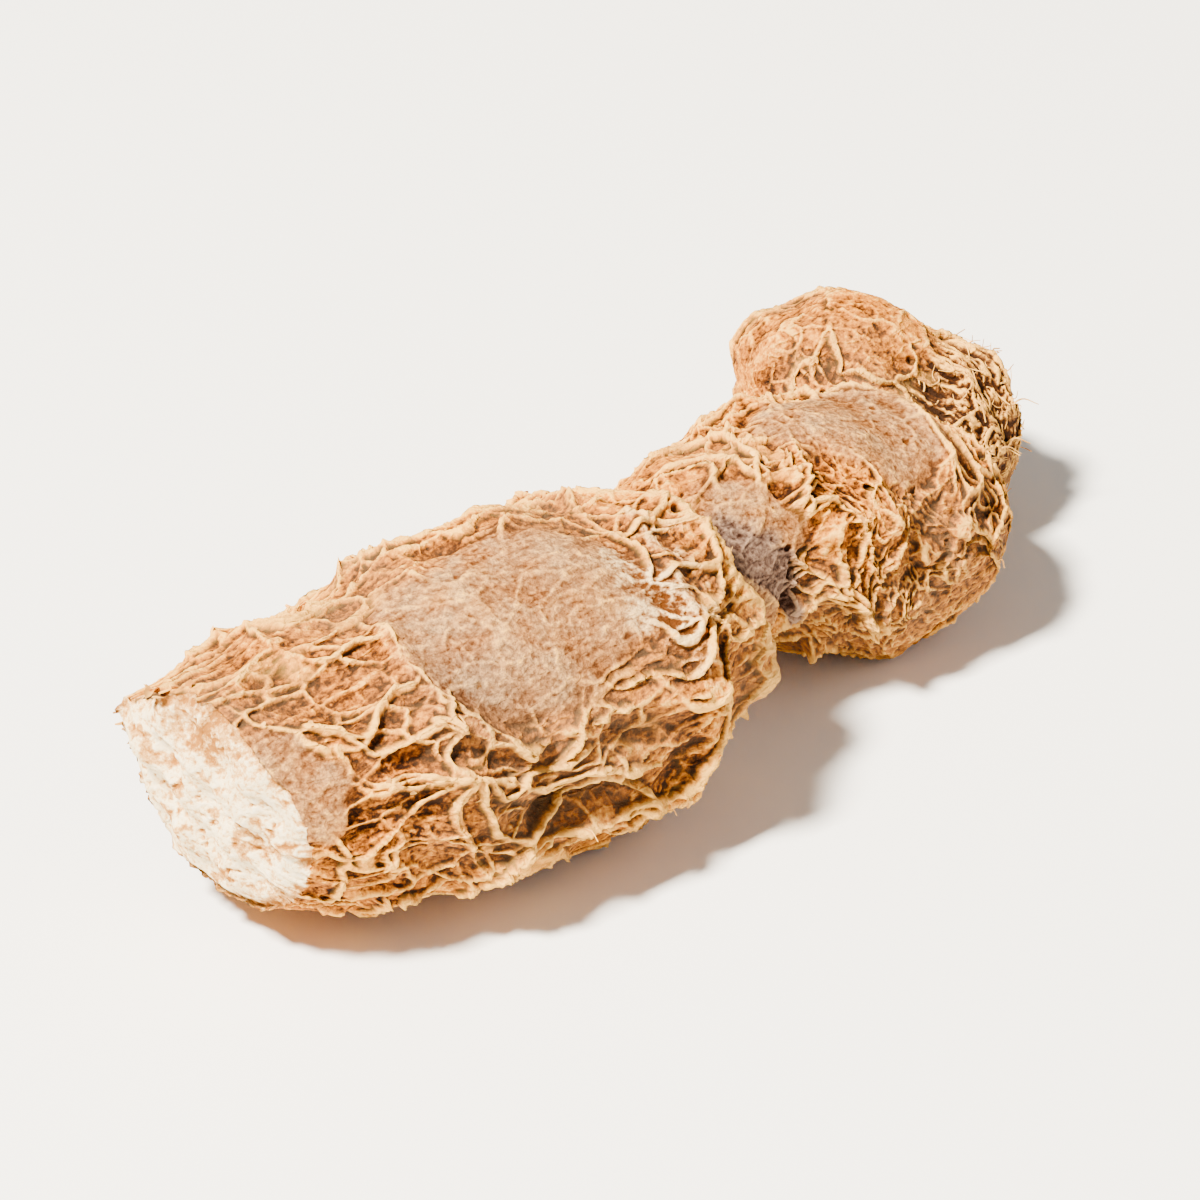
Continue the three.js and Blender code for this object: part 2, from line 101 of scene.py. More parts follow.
def cord(value: Grid) -> Grid:
    """A cord's profile: near 1 up to 0.6, with steep sides, and close to 0 past 1.3."""
    return np.exp(-value ** 4)


@dataclass(frozen=True)
class Wave:
    """A wave over the skin: its size, its change of phase per mm along and per radian round, its phase."""

    size: float
    along: float
    around: float
    phase: float

    def read(self, along: Grid, around: Grid) -> Grid:
        """Gives the wave's height at each place."""
        return self.size * np.sin(self.along * along + self.around * around + self.phase)


def waves(parts: tuple[Wave, ...], along: Grid, around: Grid) -> Grid:
    """Adds some waves up."""
    return sum(part.read(along, around) for part in parts)


NET_BEND_ALONG = (Wave(0.8, 0.35, 3, 0), Wave(0.45, -0.5, 5, 1))
NET_BEND_AROUND = (Wave(0.1, 0.7, 2, 0), Wave(0.05, 1.7, 3, 2))
LUMPS = (Wave(0.16, 0.42, 2, 2.0), Wave(0.16, 0.42, -2, 0.6), Wave(0.19, 0.95, -2, 2.1))
FOLDS = (Wave(0.3, 0.3, 5, 0), Wave(0.2, -0.5, 8, 0))
BREAK_GRAIN = (Wave(0.22, 1.9, 0.6, 0), Wave(0.22, -1.1, 2.3, 2))


@dataclass(frozen=True)
class Axis:
    """A bent axis with egg-shaped sections.

    Each station is x, y and z of the section's middle, then its front, back, top and bottom half-widths.
    """

    stations: tuple[tuple[float, ...], ...]

    def table(self) -> Grid:
        """The stations as an array."""
        return np.array(self.stations)

    def lengths(self) -> Grid:
        """The distance of each station from the first, along the axis."""
        steps = np.linalg.norm(np.diff(self.table()[:, :3], axis=0), axis=1)
        return np.concatenate([[0.0], np.cumsum(steps)])

    def share_at(self, along: Grid) -> Grid:
        """The share of the stations that lies at a distance along the axis."""
        return np.interp(along, self.lengths(), np.linspace(0, 1, len(self.stations)))

    def row_at(self, share: Grid) -> Grid:
        """Reads a smooth curve through the stations.

        Args:
            share: Places from 0, the first station, to 1, the last.

        Returns:
            One row of seven numbers for each place.
        """
        table = self.table()
        spans = len(table) - 1
        place = np.clip(share * spans, 0, spans - 1e-9)
        index = place.astype(int)
        f = (place - index)[:, None]
        padded = np.vstack([2 * table[0] - table[1], table, 2 * table[-1] - table[-2]])
        a, b, c, d = (padded[index + step] for step in range(4))
        square = (2 * a - 5 * b + 4 * c - d) * f ** 2
        return 0.5 * (2 * b + (c - a) * f + square + (3 * b - a - 3 * c + d) * f ** 3)

    def frames(self, share: Grid) -> tuple[Grid, Grid, Grid]:
        """Gives the tangent, sideways and upward directions at each place."""
        step = 0.001
        ahead = self.row_at(np.clip(share + step, 0, 1))[:, :3]
        behind = self.row_at(np.clip(share - step, 0, 1))[:, :3]
        tangent = ahead - behind
        tangent /= np.linalg.norm(tangent, axis=1)[:, None]
        side = np.cross(tangent, (0.0, 0.0, 1.0))
        side /= np.linalg.norm(side, axis=1)[:, None]
        return tangent, side, np.cross(side, tangent)


FINGER_AXIS = Axis((
    (-13.4, -1.0, 9.0, 6.7, 6.6, 5.8, 5.4),
    (-10.4, -0.9, 8.9, 7.6, 7.4, 6.6, 6.5),
    (-5.4, -0.4, 8.7, 8.7, 8.3, 7.5, 7.5),
    (1.0, 0.0, 8.7, 9.3, 8.8, 8.2, 8.2),
    (7.0, 0.5, 9.1, 9.1, 8.6, 7.9, 8.6),
    (11.8, 1.5, 9.5, 7.2, 7.2, 6.2, 7.2),
    (16.1, 3.1, 10.0, 5.7, 5.4, 4.8, 5.4),
    (19.8, 4.4, 9.6, 5.5, 5.5, 5.0, 5.4),
    (23.6, 5.5, 8.7, 6.8, 6.8, 6.2, 6.7),
    (27.8, 5.4, 7.8, 7.2, 7.2, 6.0, 7.2),
    (31.8, 4.2, 7.3, 6.6, 6.4, 5.2, 6.7),
    (36.2, 2.4, 7.0, 5.8, 5.4, 4.4, 5.8),
))
KNOB_AXIS = Axis((
    (29.6, 17.6, 8.4, 4.4, 4.2, 4.0, 4.4),
    (31.9, 17.2, 8.3, 5.2, 5.0, 4.8, 5.2),
    (34.8, 15.4, 7.5, 6.0, 5.8, 5.8, 7.0),
    (37.3, 12.0, 6.3, 5.6, 5.4, 5.3, 5.8),
    (39.8, 7.4, 4.9, 4.2, 4.2, 4.4, 4.4),
))


class CellBlock:
    """A repeating block of cells, each with one wandering point and a level of its own."""

    SIDE = 9

    def __init__(self, seed: int) -> None:
        """Draws the block, the same way on every run.

        Args:
            seed: The generator's first state.
        """
        state = seed
        draws = []
        for _ in range(4 * self.SIDE ** 3):
            state = state * 16807 % 2147483647
            draws.append(state / 2147483647)
        drawn = np.array(draws, dtype=np.float32).reshape(-1, 4)
        self.points = 0.1 + 0.8 * drawn[:, :3]
        self.levels = drawn[:, 3] - 0.5

    def read_rows(self, u: Grid, v: Grid, w: Grid) -> tuple[Grid, Grid, Grid]:
        """Finds the nearest two cell points of some rows of places. Args and Returns as for read."""
        bases = [np.floor(axis).astype(np.int32) for axis in (u, v, w)]
        local = [(axis - base).astype(np.float32) for axis, base in zip((u, v, w), bases)]
        nearest = np.full(u.shape, 9.0, dtype=np.float32)
        second = nearest.copy()
        level = np.zeros(u.shape, dtype=np.float32)
        side = self.SIDE
        for i in (-1, 0, 1):
            for j in (-1, 0, 1):
                for k in (-1, 0, 1):
                    row = (bases[0] + i) % side * side + (bases[1] + j) % side
                    slot = row * side + (bases[2] + k) % side
                    distance = np.zeros(u.shape, dtype=np.float32)
                    for axis, step in enumerate((i, j, k)):
                        distance += (self.points[slot, axis] + step - local[axis]) ** 2
                    closer = distance < nearest
                    second = np.where(closer, nearest, np.minimum(second, distance))
                    level = np.where(closer, self.levels[slot], level)
                    nearest = np.where(closer, distance, nearest)
        return np.sqrt(nearest), np.sqrt(second) - np.sqrt(nearest), level

    def read(self, u: Grid, v: Grid, w: Grid) -> tuple[Grid, Grid, Grid]:
        """Finds the nearest two cell points of each place.

        Args:
            u: Places along the root, in cells.
            v: Places across it, in cells.
            w: Places up it, in cells.

        Returns:
            The distance to the nearest point, how much farther the second one is, and the cell's level.
        """
        parts = [np.array_split(axis, 16) for axis in (u, v, w)]
        with ThreadPoolExecutor() as pool:
            done = list(pool.map(self.read_rows, *parts))
        return tuple(np.concatenate([part[index] for part in done]) for index in range(3))


class Mottle:
    """Smooth seeded noise in space, from about -1 to 1."""

    SIDE = 32

    def __init__(self, seed: int) -> None:
        """Draws the block of values.

        Args:
            seed: The seed of the draws.
        """
        self.values = np.random.default_rng(seed).uniform(-1, 1, (self.SIDE,) * 3).astype(np.float32)

    def read(self, x: Grid, y: Grid, z: Grid) -> Grid:
        """Reads the noise at each place."""
        place = np.stack([x, y, z], axis=-1).astype(np.float32)
        base = np.floor(place).astype(np.int64)
        ease = place - base
        ease = ease * ease * (3 - 2 * ease)
        total = np.zeros(x.shape, dtype=np.float32)
        for i in (0, 1):
            for j in (0, 1):
                for k in (0, 1):
                    corner = (base + (i, j, k)) % self.SIDE
                    far = np.array((1 - i, 1 - j, 1 - k), dtype=np.float32)
                    weight = np.abs(far - ease).prod(axis=-1)
                    total += weight * self.values[corner[..., 0], corner[..., 1], corner[..., 2]]
        return total

    def layered(self, x: Grid, y: Grid, z: Grid, octaves: int) -> Grid:
        """Adds finer and weaker copies of the noise to itself."""
        total = np.zeros(x.shape, dtype=np.float32)
        for octave in range(octaves):
            scale = 2.1 ** octave
            total += self.read(x * scale + 5.3 * octave, y * scale, z * scale) * 0.55 ** octave
        return total


@dataclass(frozen=True)
class Places:
    """Places on a lobe: how far along the root in mm, the turn round it, and how far from its axis in mm."""

    along: Grid
    around: Grid
    reach: Grid

    def moved(self, along: Grid | float, around: Grid | float = 0.0) -> "Places":
        """The same places, moved along the root and turned round it."""
        return Places(self.along + along, self.around + around, self.reach)

    def on_tube(self, reach: float, stretch: float) -> "Places":
        """The places pressed onto a tube, with the distances along it stretched."""
        return Places(stretch * self.along, self.around, 0 * self.reach + reach)

    def turn_from(self, turn: float) -> Grid:
        """The smallest turn from a line along the root to each place."""
        return turn_between(self.around, turn)


def border_distance(border: Grid, at: Places, flattest: float) -> Grid:
    """Turns a reading that is 0 on a line into the distance from that line over the skin.

    Args:
        border: The reading on a grid of rings.
        at: The places of the grid.
        flattest: The least slope that is counted, per mm, which keeps lines from spreading out.

    Returns:
        The distance in mm.
    """
    down = np.hypot(np.gradient(at.along, axis=0), np.gradient(at.reach, axis=0)) + 1e-3
    over = at.reach * np.gradient(at.around, axis=1) + 1e-3
    slope = np.hypot(np.gradient(border, axis=0) / down, np.gradient(border, axis=1) / over)
    return border / np.maximum(slope, flattest)


@dataclass(frozen=True)
class Ridge:
    """A ridge or hollow drawn over the skin as a line of places.

    Each place is a distance along the root in mm and a turn round it in degrees from the top.
    """

    height: float
    width: float
    path: tuple[tuple[float, float], ...]

    def distance(self, at: Places) -> Grid:
        """The distance in mm from each place to the line, over the skin."""
        nearest = np.full(at.along.shape, np.inf)
        for (along_a, turn_a), (along_b, turn_b) in zip(self.path[:-1], self.path[1:]):
            across = at.turn_from(math.radians(turn_a)) * MEAN_RADIUS
            run_across = math.radians(turn_b - turn_a) * MEAN_RADIUS
            run_along = along_b - along_a
            to_point = at.along - along_a
            share = (to_point * run_along + across * run_across) / (run_along ** 2 + run_across ** 2)
            held = np.clip(share, 0, 1)
            gap = np.hypot(to_point - held * run_along, across - held * run_across)
            nearest = np.minimum(nearest, gap)
        return nearest


MAIN_RIDGES = (
    Ridge(0.5, 0.8, ((4.8, -46), (9.8, -42), (13, -27), (18, -23), (22.2, -16))),
    Ridge(0.6, 0.7, ((8.6, 10), (8.1, 26), (8.6, 41), (9.6, 50), (12.1, 69))),
    Ridge(0.8, 0.8, ((7.3, 48), (9.6, 58), (12.1, 69), (14.6, 68), (18, 69), (21.5, 76))),
    Ridge(0.8, 0.8, ((4, 66), (6.2, 68), (9.9, 74), (12.7, 86), (15.6, 84), (19.3, 97))),
    Ridge(1.0, 1.0, ((5, 124), (8, 124), (11.4, 106), (17.4, 108), (21, 114))),
    Ridge(-1.2, 1.1, ((13.2, 96), (15.5, 96), (17.6, 99))),
    Ridge(0.7, 0.8, ((2.5, 31), (4.2, 52), (7.3, 50))),
    Ridge(0.6, 0.8, ((36, -40), (41.6, -31), (45.4, -19), (47.2, 22), (48, 41))),
    Ridge(0.7, 0.8, ((35.5, 17), (34.5, 32), (35, 59), (34.8, 68), (35.3, 96), (40, 110))),
    Ridge(0.6, 0.7, ((34.7, 67), (38.6, 56), (41, 62))),
    Ridge(0.7, 0.8, ((32.6, 118), (34.4, 99), (40, 110), (44.5, 98))),
)
WEB_LINE = Ridge(1.0, 1.0, ((28.8, 38), (30.8, 70), (33.4, 120)))
WEB_DEGREES = (30, 55, 90, 122)
WEB_HALF_WIDTHS = (2.6, 2.3, 1.4, 0.35)


@dataclass(frozen=True)
class Patch:
    """An oval patch with an edge: its middle in mm along and degrees round, and its half-widths."""

    along: float
    around: float
    half_along: float
    half_around: float

    def share(self, at: Places) -> Grid:
        """1 in the middle of the patch and 0 outside it."""
        across = at.turn_from(math.radians(self.around)) / math.radians(self.half_around)
        return 1 - smooth_step(0.8, 1.05, np.hypot((at.along - self.along) / self.half_along, across))


TIGHT_PATCHES = (
    Patch(15.4, 24, 7.4, 42), Patch(42.0, 2, 6.4, 36), Patch(30.6, 60, 2.6, 60), Patch(1.0, 56, 2.0, 32),
)


@dataclass(frozen=True)
class Spot:
    """A soft spot without an edge: its middle in mm along and radians round, and its half-widths."""

    along: float
    around: float
    half_along: float
    half_around: float

    def share(self, at: Places) -> Grid:
        """1 in the middle of the spot, and close to 0 at twice its half-widths."""
        turned = at.turn_from(self.around) / self.half_around
        return bell((at.along - self.along) / self.half_along) * bell(turned)


CHALKY_SHOULDER = Spot(22.3, 0.75, 2.2, 0.55)
CHALKY_COLLAR = Spot(25.4, 0.3, 1.3, 0.4)
GREY_BLUSH = Spot(10.5, 0.72, 2.4, 0.3)
ROLLED_LIP = Spot(25.3, 0.95, 0.9, 0.42)


@dataclass(frozen=True)
class Stub:
    """The stub of a broken root: its place in mm along and degrees round, and its height in mm."""

    along: float
    around: float
    height: float
    radius: float = 0.9


STUBS = (
    Stub(5.5, 152, 0.9), Stub(10.5, -150, 1.0), Stub(19.5, -70, 0.8), Stub(24.4, -128, 0.9),
    Stub(31.6, -78, 0.8), Stub(37.5, 138, 0.8), Stub(45.0, 74, 0.7), Stub(47.6, 62, 0.9),
)


@dataclass(frozen=True)
class NetSpec:
    """A net of raised borders: cell lengths on each lobe, cell width, height, and its seed."""

    length_one: float
    length_two: float
    across: float
    height: float
    seed: int
    change: float = 27.0

    def cells(self, at: Places) -> tuple[Grid, Grid, Grid]:
        """Gives each place's cell coordinates."""
        beyond = np.maximum(at.along - self.change, 0)
        u = (at.along - beyond) / self.length_one + beyond / self.length_two
        v, w = np.sin(at.around) * at.reach / self.across, np.cos(at.around) * at.reach / self.across
        return u, v, w


FINGER_NET = NetSpec(6.6, 3.6, 3.7, 0.75, 4711)
KNOB_NET = NetSpec(5.2, 5.2, 3.9, 0.6, 977)
WRINKLE_NET = NetSpec(3.4, 2.2, 1.6, 0.32, 313)
PIT_NET = NetSpec(1.9, 1.9, 1.7, 0.45, 318, change=math.inf)
CRUMB_SEED = 57


@dataclass
class Relief:
    """What the skin does at each place of a grid. Heights and leans are in mm, the rest are shares.

    A value that is left out is 0 all over the grid.
    """

    raised: Grid
    fine: Grid
    crest: Grid
    lean_around: Grid
    lean_along: Grid | float = 0.0
    tight: Grid | float = 0.0
    ash: Grid | float = 0.0
    bleach: Grid | float = 0.0
    frill: Grid | float = 0.0
    fibre: Grid | float = 0.0
    # shade is painted shade: a share that darkens the tone where shade falls, as on the collar's inner wall
    shade: Grid | float = 0.0

    def whole(self, name: str) -> Grid:
        """One of the values as a whole grid."""
        return np.broadcast_to(getattr(self, name), self.raised.shape)


@dataclass
class CollarRelief:
    """What the collar adds: its height, its lean along, the share of its thin lip, and the share of painted
    shade on its inner wall.
    """

    height: Grid
    lean: Grid | float = 0.0
    thin_lip: Grid | float = 0.0
    inner_wall_shade: Grid | float = 0.0


@dataclass
class Wrinkles:
    """The finer wrinkles' height, the share of their crests, and the fine grain's height."""

    height: Grid
    crest: Grid
    grain: Grid


@dataclass
class SkinSculptor:
    """Works out the relief of the lobes, first as the solid has it and then finer. Sizes are in mm."""

    ridge_width: float = 0.5
    plate_height: float = 0.3
    plate_sink: float = 0.45
    membrane: float = 0.5
    wire_width: float = 0.125
    wrinkle_width: float = 0.1
    curl: float = 0.22
    first_ring: float = 22.6
    ring_width: float = 0.8
    lip_place: float = 26.9
    lip_width: float = 0.9
    lip_drop: float = 3.2
    neck_place: float = 28.9
    blocks: dict[int, CellBlock] = field(default_factory=dict)
    mottle: Mottle = field(default_factory=lambda: Mottle(21))

    def block(self, seed: int) -> CellBlock:
        """Gives the cell block of a seed, drawn once."""
        if seed not in self.blocks:
            self.blocks[seed] = CellBlock(seed)
        return self.blocks[seed]

    def noise(self, at: Places, scale: tuple[float, float], octaves: int, shift: float = 0.0) -> Grid:
        """Reads the layered noise in the root's own straightened space.

        Args:
            at: The places.
            scale: Waves per mm along the root and across it.
            octaves: How many layers are added.
            shift: A step through the noise, so that two readings differ.

        Returns:
            The noise.
        """
        v = np.sin(at.around) * at.reach * scale[1]
        w = np.cos(at.around) * at.reach * scale[1]
        return self.mottle.layered(at.along * scale[0] + shift, v + 0.37 * shift, w, octaves)

    def coarse_net(self, spec: NetSpec, at: Places) -> tuple[Grid, Grid]:
        """Reads the raised net: broad borders as in the solid, each with a thin membrane on its crest.

        Args:
            spec: The net's sizes.
            at: The places.

        Returns:
            The net's height in mm, and a share that is 1 on the thin crest.
        """
        waver = self.noise(at, (0.55, 0.7), 2)
        bent = Places(
            at.along + waves(NET_BEND_ALONG, at.along, at.around) + 0.5 * waver,
            at.around + waves(NET_BEND_AROUND, at.along, at.around) + 0.03 * waver,
            at.reach,
        )
        _, border, level = self.block(spec.seed).read(*spec.cells(bent))
        broad = 1 - smooth_step(0, self.ridge_width, border)
        present = 0.15 + 0.85 * smooth_step(-0.35, 0.35, self.noise(at, (0.3, 0.35), 2, 11))
        width = self.wire_width * (0.65 + 0.6 * present)
        wire = cord(border_distance(border, at, 0.3) / width) * present
        height = spec.height * ((1 - self.membrane) * broad + self.membrane * wire - self.plate_sink)
        return height + self.plate_height * level, wire

    @staticmethod
    def underside(at: Places) -> Grid:
        """0 at the underside, where the skin is pressed flat, and 1 from there up."""
        return smooth_step(0.25, 0.9, np.abs(at.turn_from(math.pi)))

    @staticmethod
    def ring_place(along: float, sway: float, turn: float, at: Places) -> Grid:
        """Where a leaf ring of the collar runs, as a distance along the root."""
        return along + sway * np.cos(at.around + math.radians(turn)) + 0.25 * np.sin(4 * at.around + 1)

    def past_lip(self, at: Places) -> Grid:
        """How far a place lies beyond the collar's ragged lip, in mm."""
        ragged = 0.3 * self.noise(at.on_tube(5.5, 0.0), (0.5, 1.1), 3, 5)
        return at.along - self.ring_place(self.lip_place, 0.7, -10, at) - ragged

    @staticmethod
    def flap(at: Places) -> Grid:
        """The pointed tip of skin that hangs from the collar."""
        across = at.turn_from(math.radians(104)) * MEAN_RADIUS
        return bell((at.along - 26.3) / 0.9) * bell(across / 1.1)

    def web(self, at: Places) -> Grid:
        """The pointed web of grey skin over the neck: 1 on it and 0 off it."""
        width = np.interp(np.degrees(at.turn_from(0.0)), WEB_DEGREES, WEB_HALF_WIDTHS)
        frayed = 0.25 * self.noise(at.on_tube(7.0, 1.0), (0.9, 0.9), 3, 47)
        return 1 - smooth_step(0.6, 1.1, WEB_LINE.distance(at) / width + frayed)

    @staticmethod
    def scar(at: Places) -> Grid:
        """The round scar of a finger that broke off the hidden side."""
        across = at.turn_from(math.radians(-104)) * MEAN_RADIUS
        reach = np.hypot(at.along - 12.5, across) / 3.4
        return 1.0 - smooth_step(0.75, 1.35, reach) - 1.1 * (1 - smooth_step(0.35, 0.75, reach))

    @staticmethod
    def torn_edge(at: Places) -> Grid:
        """1 where the skin round the broken end is torn, which is its upper back part, and 0 elsewhere."""
        turn = at.turn_from(0.0)
        return smooth_step(-1.7, -1.2, turn) * (1 - smooth_step(-0.3, 0.1, turn))

    @staticmethod
    def stubs(at: Places) -> Grid:
        """The height of the short stubs of broken roots, in mm."""
        height = np.zeros(at.along.shape)
        for stub in STUBS:
            across = at.turn_from(math.radians(stub.around)) * MEAN_RADIUS
            height += stub.height * cord(np.hypot(at.along - stub.along, across) / stub.radius)
        return height

    def wrinkles(self, at: Places, swirl: Grid) -> Wrinkles:
        """The finer wrinkles that all lobes share.

        Args:
            at: The places.
            swirl: How strongly the wrinkles curl at each place.

        Returns:
            The wrinkles and the grain.
        """
        drift, turn_drift = (self.noise(at, (0.28, 0.32), 3, shift) for shift in (3, 17))
        bent = at.moved((0.9 + 2.0 * swirl) * drift, (0.08 + 0.16 * swirl) * turn_drift)
        _, border, level = self.block(WRINKLE_NET.seed).read(*WRINKLE_NET.cells(bent))
        present = smooth_step(-0.3, 0.35, self.noise(at, (0.35, 0.4), 2, 29))
        crest = cord(border_distance(border, at, 0.8) / self.wrinkle_width)
        crest = crest * (0.15 + 0.85 * present)
        height = WRINKLE_NET.height * (0.5 * crest + 0.5 * np.exp(-border / 0.3) - 0.25) + 0.1 * level
        strands = 0.075 * self.noise(bent, (0.5, 2.1), 3, 7)
        grain = 0.05 * self.noise(at, (3.1, 3.7), 3, 13)
        nearest, _, hole = self.block(PIT_NET.seed).read(*PIT_NET.cells(at))
        pits = (hole > 0.3) * cord(nearest / 0.13)
        return Wrinkles(height + strands, crest, grain - PIT_NET.height * pits)

    def tightness(self, at: Places) -> Grid:
        """How tightly the skin lies over the flesh: 1 on the smooth patches, whose edges wander."""
        sway = self.noise(at, (0.3, 0.35), 3, 61)
        return np.max([patch.share(at.moved(sway, 0.1 * sway)) for patch in TIGHT_PATCHES], axis=0)

    def main_ridges(self, at: Places) -> tuple[Grid, Grid]:
        """The drawn ridges' height in mm, and the wires of skin that run on them."""
        gaps = [(ridge, ridge.distance(at)) for ridge in MAIN_RIDGES]
        height = sum(ridge.height * bell(gap / ridge.width) for ridge, gap in gaps)
        waver = 0.25 * self.noise(at, (0.6, 0.7), 2, 41)
        raised = [(ridge, gap) for ridge, gap in gaps if ridge.height > 0]
        return height, sum(ridge.height * cord((gap + waver) / self.wire_width) for ridge, gap in raised)

    def neck_hollow(self, at: Places) -> Grid:
        """How far the neck sinks in behind the collar, in mm."""
        return 0.7 * bell((at.along - self.neck_place) / 1.7)

    def collar(self, at: Places, past: Grid) -> CollarRelief:
        """Works out the collar: a ring, then a ragged lip with a rolled place, whose wall drops to the neck.

        Args:
            at: The places.
            past: How far each place lies beyond the lip.

        Returns:
            What the collar adds to lobe one.
        """
        ring = (at.along - self.ring_place(self.first_ring, 2.1, 20, at)) / self.ring_width
        between = smooth_step(-0.5, 0.5, ring) * (1 - smooth_step(-0.2, 0.3, past / self.lip_width))
        lip = bell(np.minimum(past, 0) / self.lip_width)
        thin_lip = np.exp(-np.abs(past - 0.1) / 0.2)
        strands = self.noise(at.on_tube(5.5, 0.3), (0.5, 2.6), 3, 53)
        height = 0.7 * bell(ring) + 0.55 * lip + 0.15 * thin_lip + 0.3 * between
        height = height - 0.5 * self.neck_hollow(at) + ROLLED_LIP.share(at) * (0.4 + 0.35 * strands)
        front = smooth_step(-1.0, -0.3, at.turn_from(0.0)) * self.underside(at)
        lean = (0.5 * lip * front + 0.7 * self.flap(at)) * (past < 0.3)
        return CollarRelief(
            height=height - self.lip_drop * smooth_step(0.1, 0.5, past),
            lean=lean + 0.3 * strands * bell((past - 0.35) / 0.35),
            thin_lip=thin_lip,
            # painted shade on the lip's inner wall, which drops to the neck
            inner_wall_shade=smooth_step(0.15, 0.45, past),
        )

    def neck(self, at: Places, past: Grid) -> CollarRelief:
        """Sinks the neck, and tucks its start in under the collar. Args and Returns as for collar."""
        return CollarRelief(height=-self.neck_hollow(at) - 1.3 * (1 - smooth_step(-1.6, -0.2, past)))

    def finger(self, at: Places, lobe: Lobe) -> Relief:
        """Works out lobe one with its collar, or the neck with lobe two.

        Args:
            at: The places on the plain form.
            lobe: Which of the two skins is worked out.

        Returns:
            The relief at each place.
        """
        tight = self.tightness(at)
        net, net_crest = self.coarse_net(FINGER_NET, at)
        ridges, wires = self.main_ridges(at)
        under = self.underside(at)
        pressed = 0.3 + 0.7 * under
        open_share = smooth_step(0.3, 3.0, at.reach) * (0.4 + 0.6 * smooth_step(0, 3, at.along))
        past = self.past_lip(at)
        collar = self.collar(at, past) if lobe is Lobe.ONE else self.neck(at, past)
        broad = waves(LUMPS, at.along, at.around) * (1 - 0.5 * tight) + self.scar(at) + collar.height
        strong = (net * (1 - 0.9 * tight) + ridges * 0.75 + self.stubs(at)) * pressed
        fine = self.wrinkles(at, smooth_step(32, 36, at.along) * (1 - 0.6 * tight))
        chalky = CHALKY_SHOULDER.share(at)
        loose = 1 - 0.75 * tight * (1 - chalky)
        web = self.web(at) * (past > 0.1)
        raised = (strong + broad + 0.8 * self.flap(at)) * open_share + 0.4 * wires * pressed
        raised = raised + fine.height * loose * (0.45 + 0.55 * under)
        raised = raised + 0.3 * web * (1 - web) - 0.12 * web
        crest = np.maximum(net_crest * (1 - 0.85 * tight), 0.45 * fine.crest * loose) + wires
        crest = np.maximum(np.clip(crest, 0, 1), 0.9 * collar.thin_lip)
        twist = np.clip(3 * self.noise(at, (0.3, 0.3), 2, 23), -1, 1)
        return Relief(
            raised=raised,
            fine=fine.grain * (1 - 0.4 * tight),
            crest=crest,
            lean_around=self.curl * crest * twist * loose * under * smooth_step(1.0, 3.0, at.reach),
            lean_along=collar.lean,
            tight=tight,
            ash=np.clip(web + 0.4 * GREY_BLUSH.share(at), 0, 1),
            bleach=chalky + 0.5 * CHALKY_COLLAR.share(at),
            frill=bell(at.along / 0.5) * self.torn_edge(at) * (lobe is Lobe.ONE),
            # painted shade on the collar's inner wall
            shade=collar.inner_wall_shade,
        )

    def knob(self, at: Places) -> Relief:
        """Works out lobe three: long soft folds, and a fibrous end. Args and Returns as for finger."""
        net, net_crest = self.coarse_net(KNOB_NET, at)
        under = self.underside(at)
        open_share = smooth_step(0.3, 3.0, at.reach)
        coarse = 0.9 * net + waves(FOLDS, at.along, at.around) + waves(LUMPS, at.along, at.around)
        coarse = coarse * (0.3 + 0.7 * under) * open_share
        fibre = smooth_step(8.5, 10.5, at.along)
        fine = self.wrinkles(at.moved(70), np.full(at.along.shape, 0.3))
        strands = self.noise(at, (0.3, 1.9), 3, 31)
        raised = coarse + fine.height * 0.6 * (1 - fibre) + 0.35 * fibre * strands * open_share
        soft_crest = np.maximum(0.6 * net_crest, 0.4 * fine.crest)
        crest = np.clip(soft_crest * (1 - fibre) + fibre * smooth_step(0.1, 0.5, strands), 0, 1)
        lean_around = 0.5 * self.curl * crest * under * open_share
        return Relief(raised=raised, fine=fine.grain, crest=crest, lean_around=lean_around, fibre=fibre)


def soften(values: Grid, radius: int) -> Grid:
    """Blurs a grid that is closed round its second direction.

    Args:
        values: The grid.
        radius: How many places to each side are averaged, three times over.

    Returns:
        The blurred grid.
    """
    width = 2 * radius + 1
    soft = values.astype(np.float64)
    for _ in range(3):
        for direction, mode in ((1, "wrap"), (0, "edge")):
            pad = [(0, 0), (0, 0)]
            pad[direction] = (radius + 1, radius)
            total = np.cumsum(np.pad(soft, pad, mode=mode), axis=direction)
            ahead = np.take(total, range(width, total.shape[direction]), axis=direction)
            behind = np.take(total, range(total.shape[direction] - width), axis=direction)
            soft = (ahead - behind) / width
    return soft


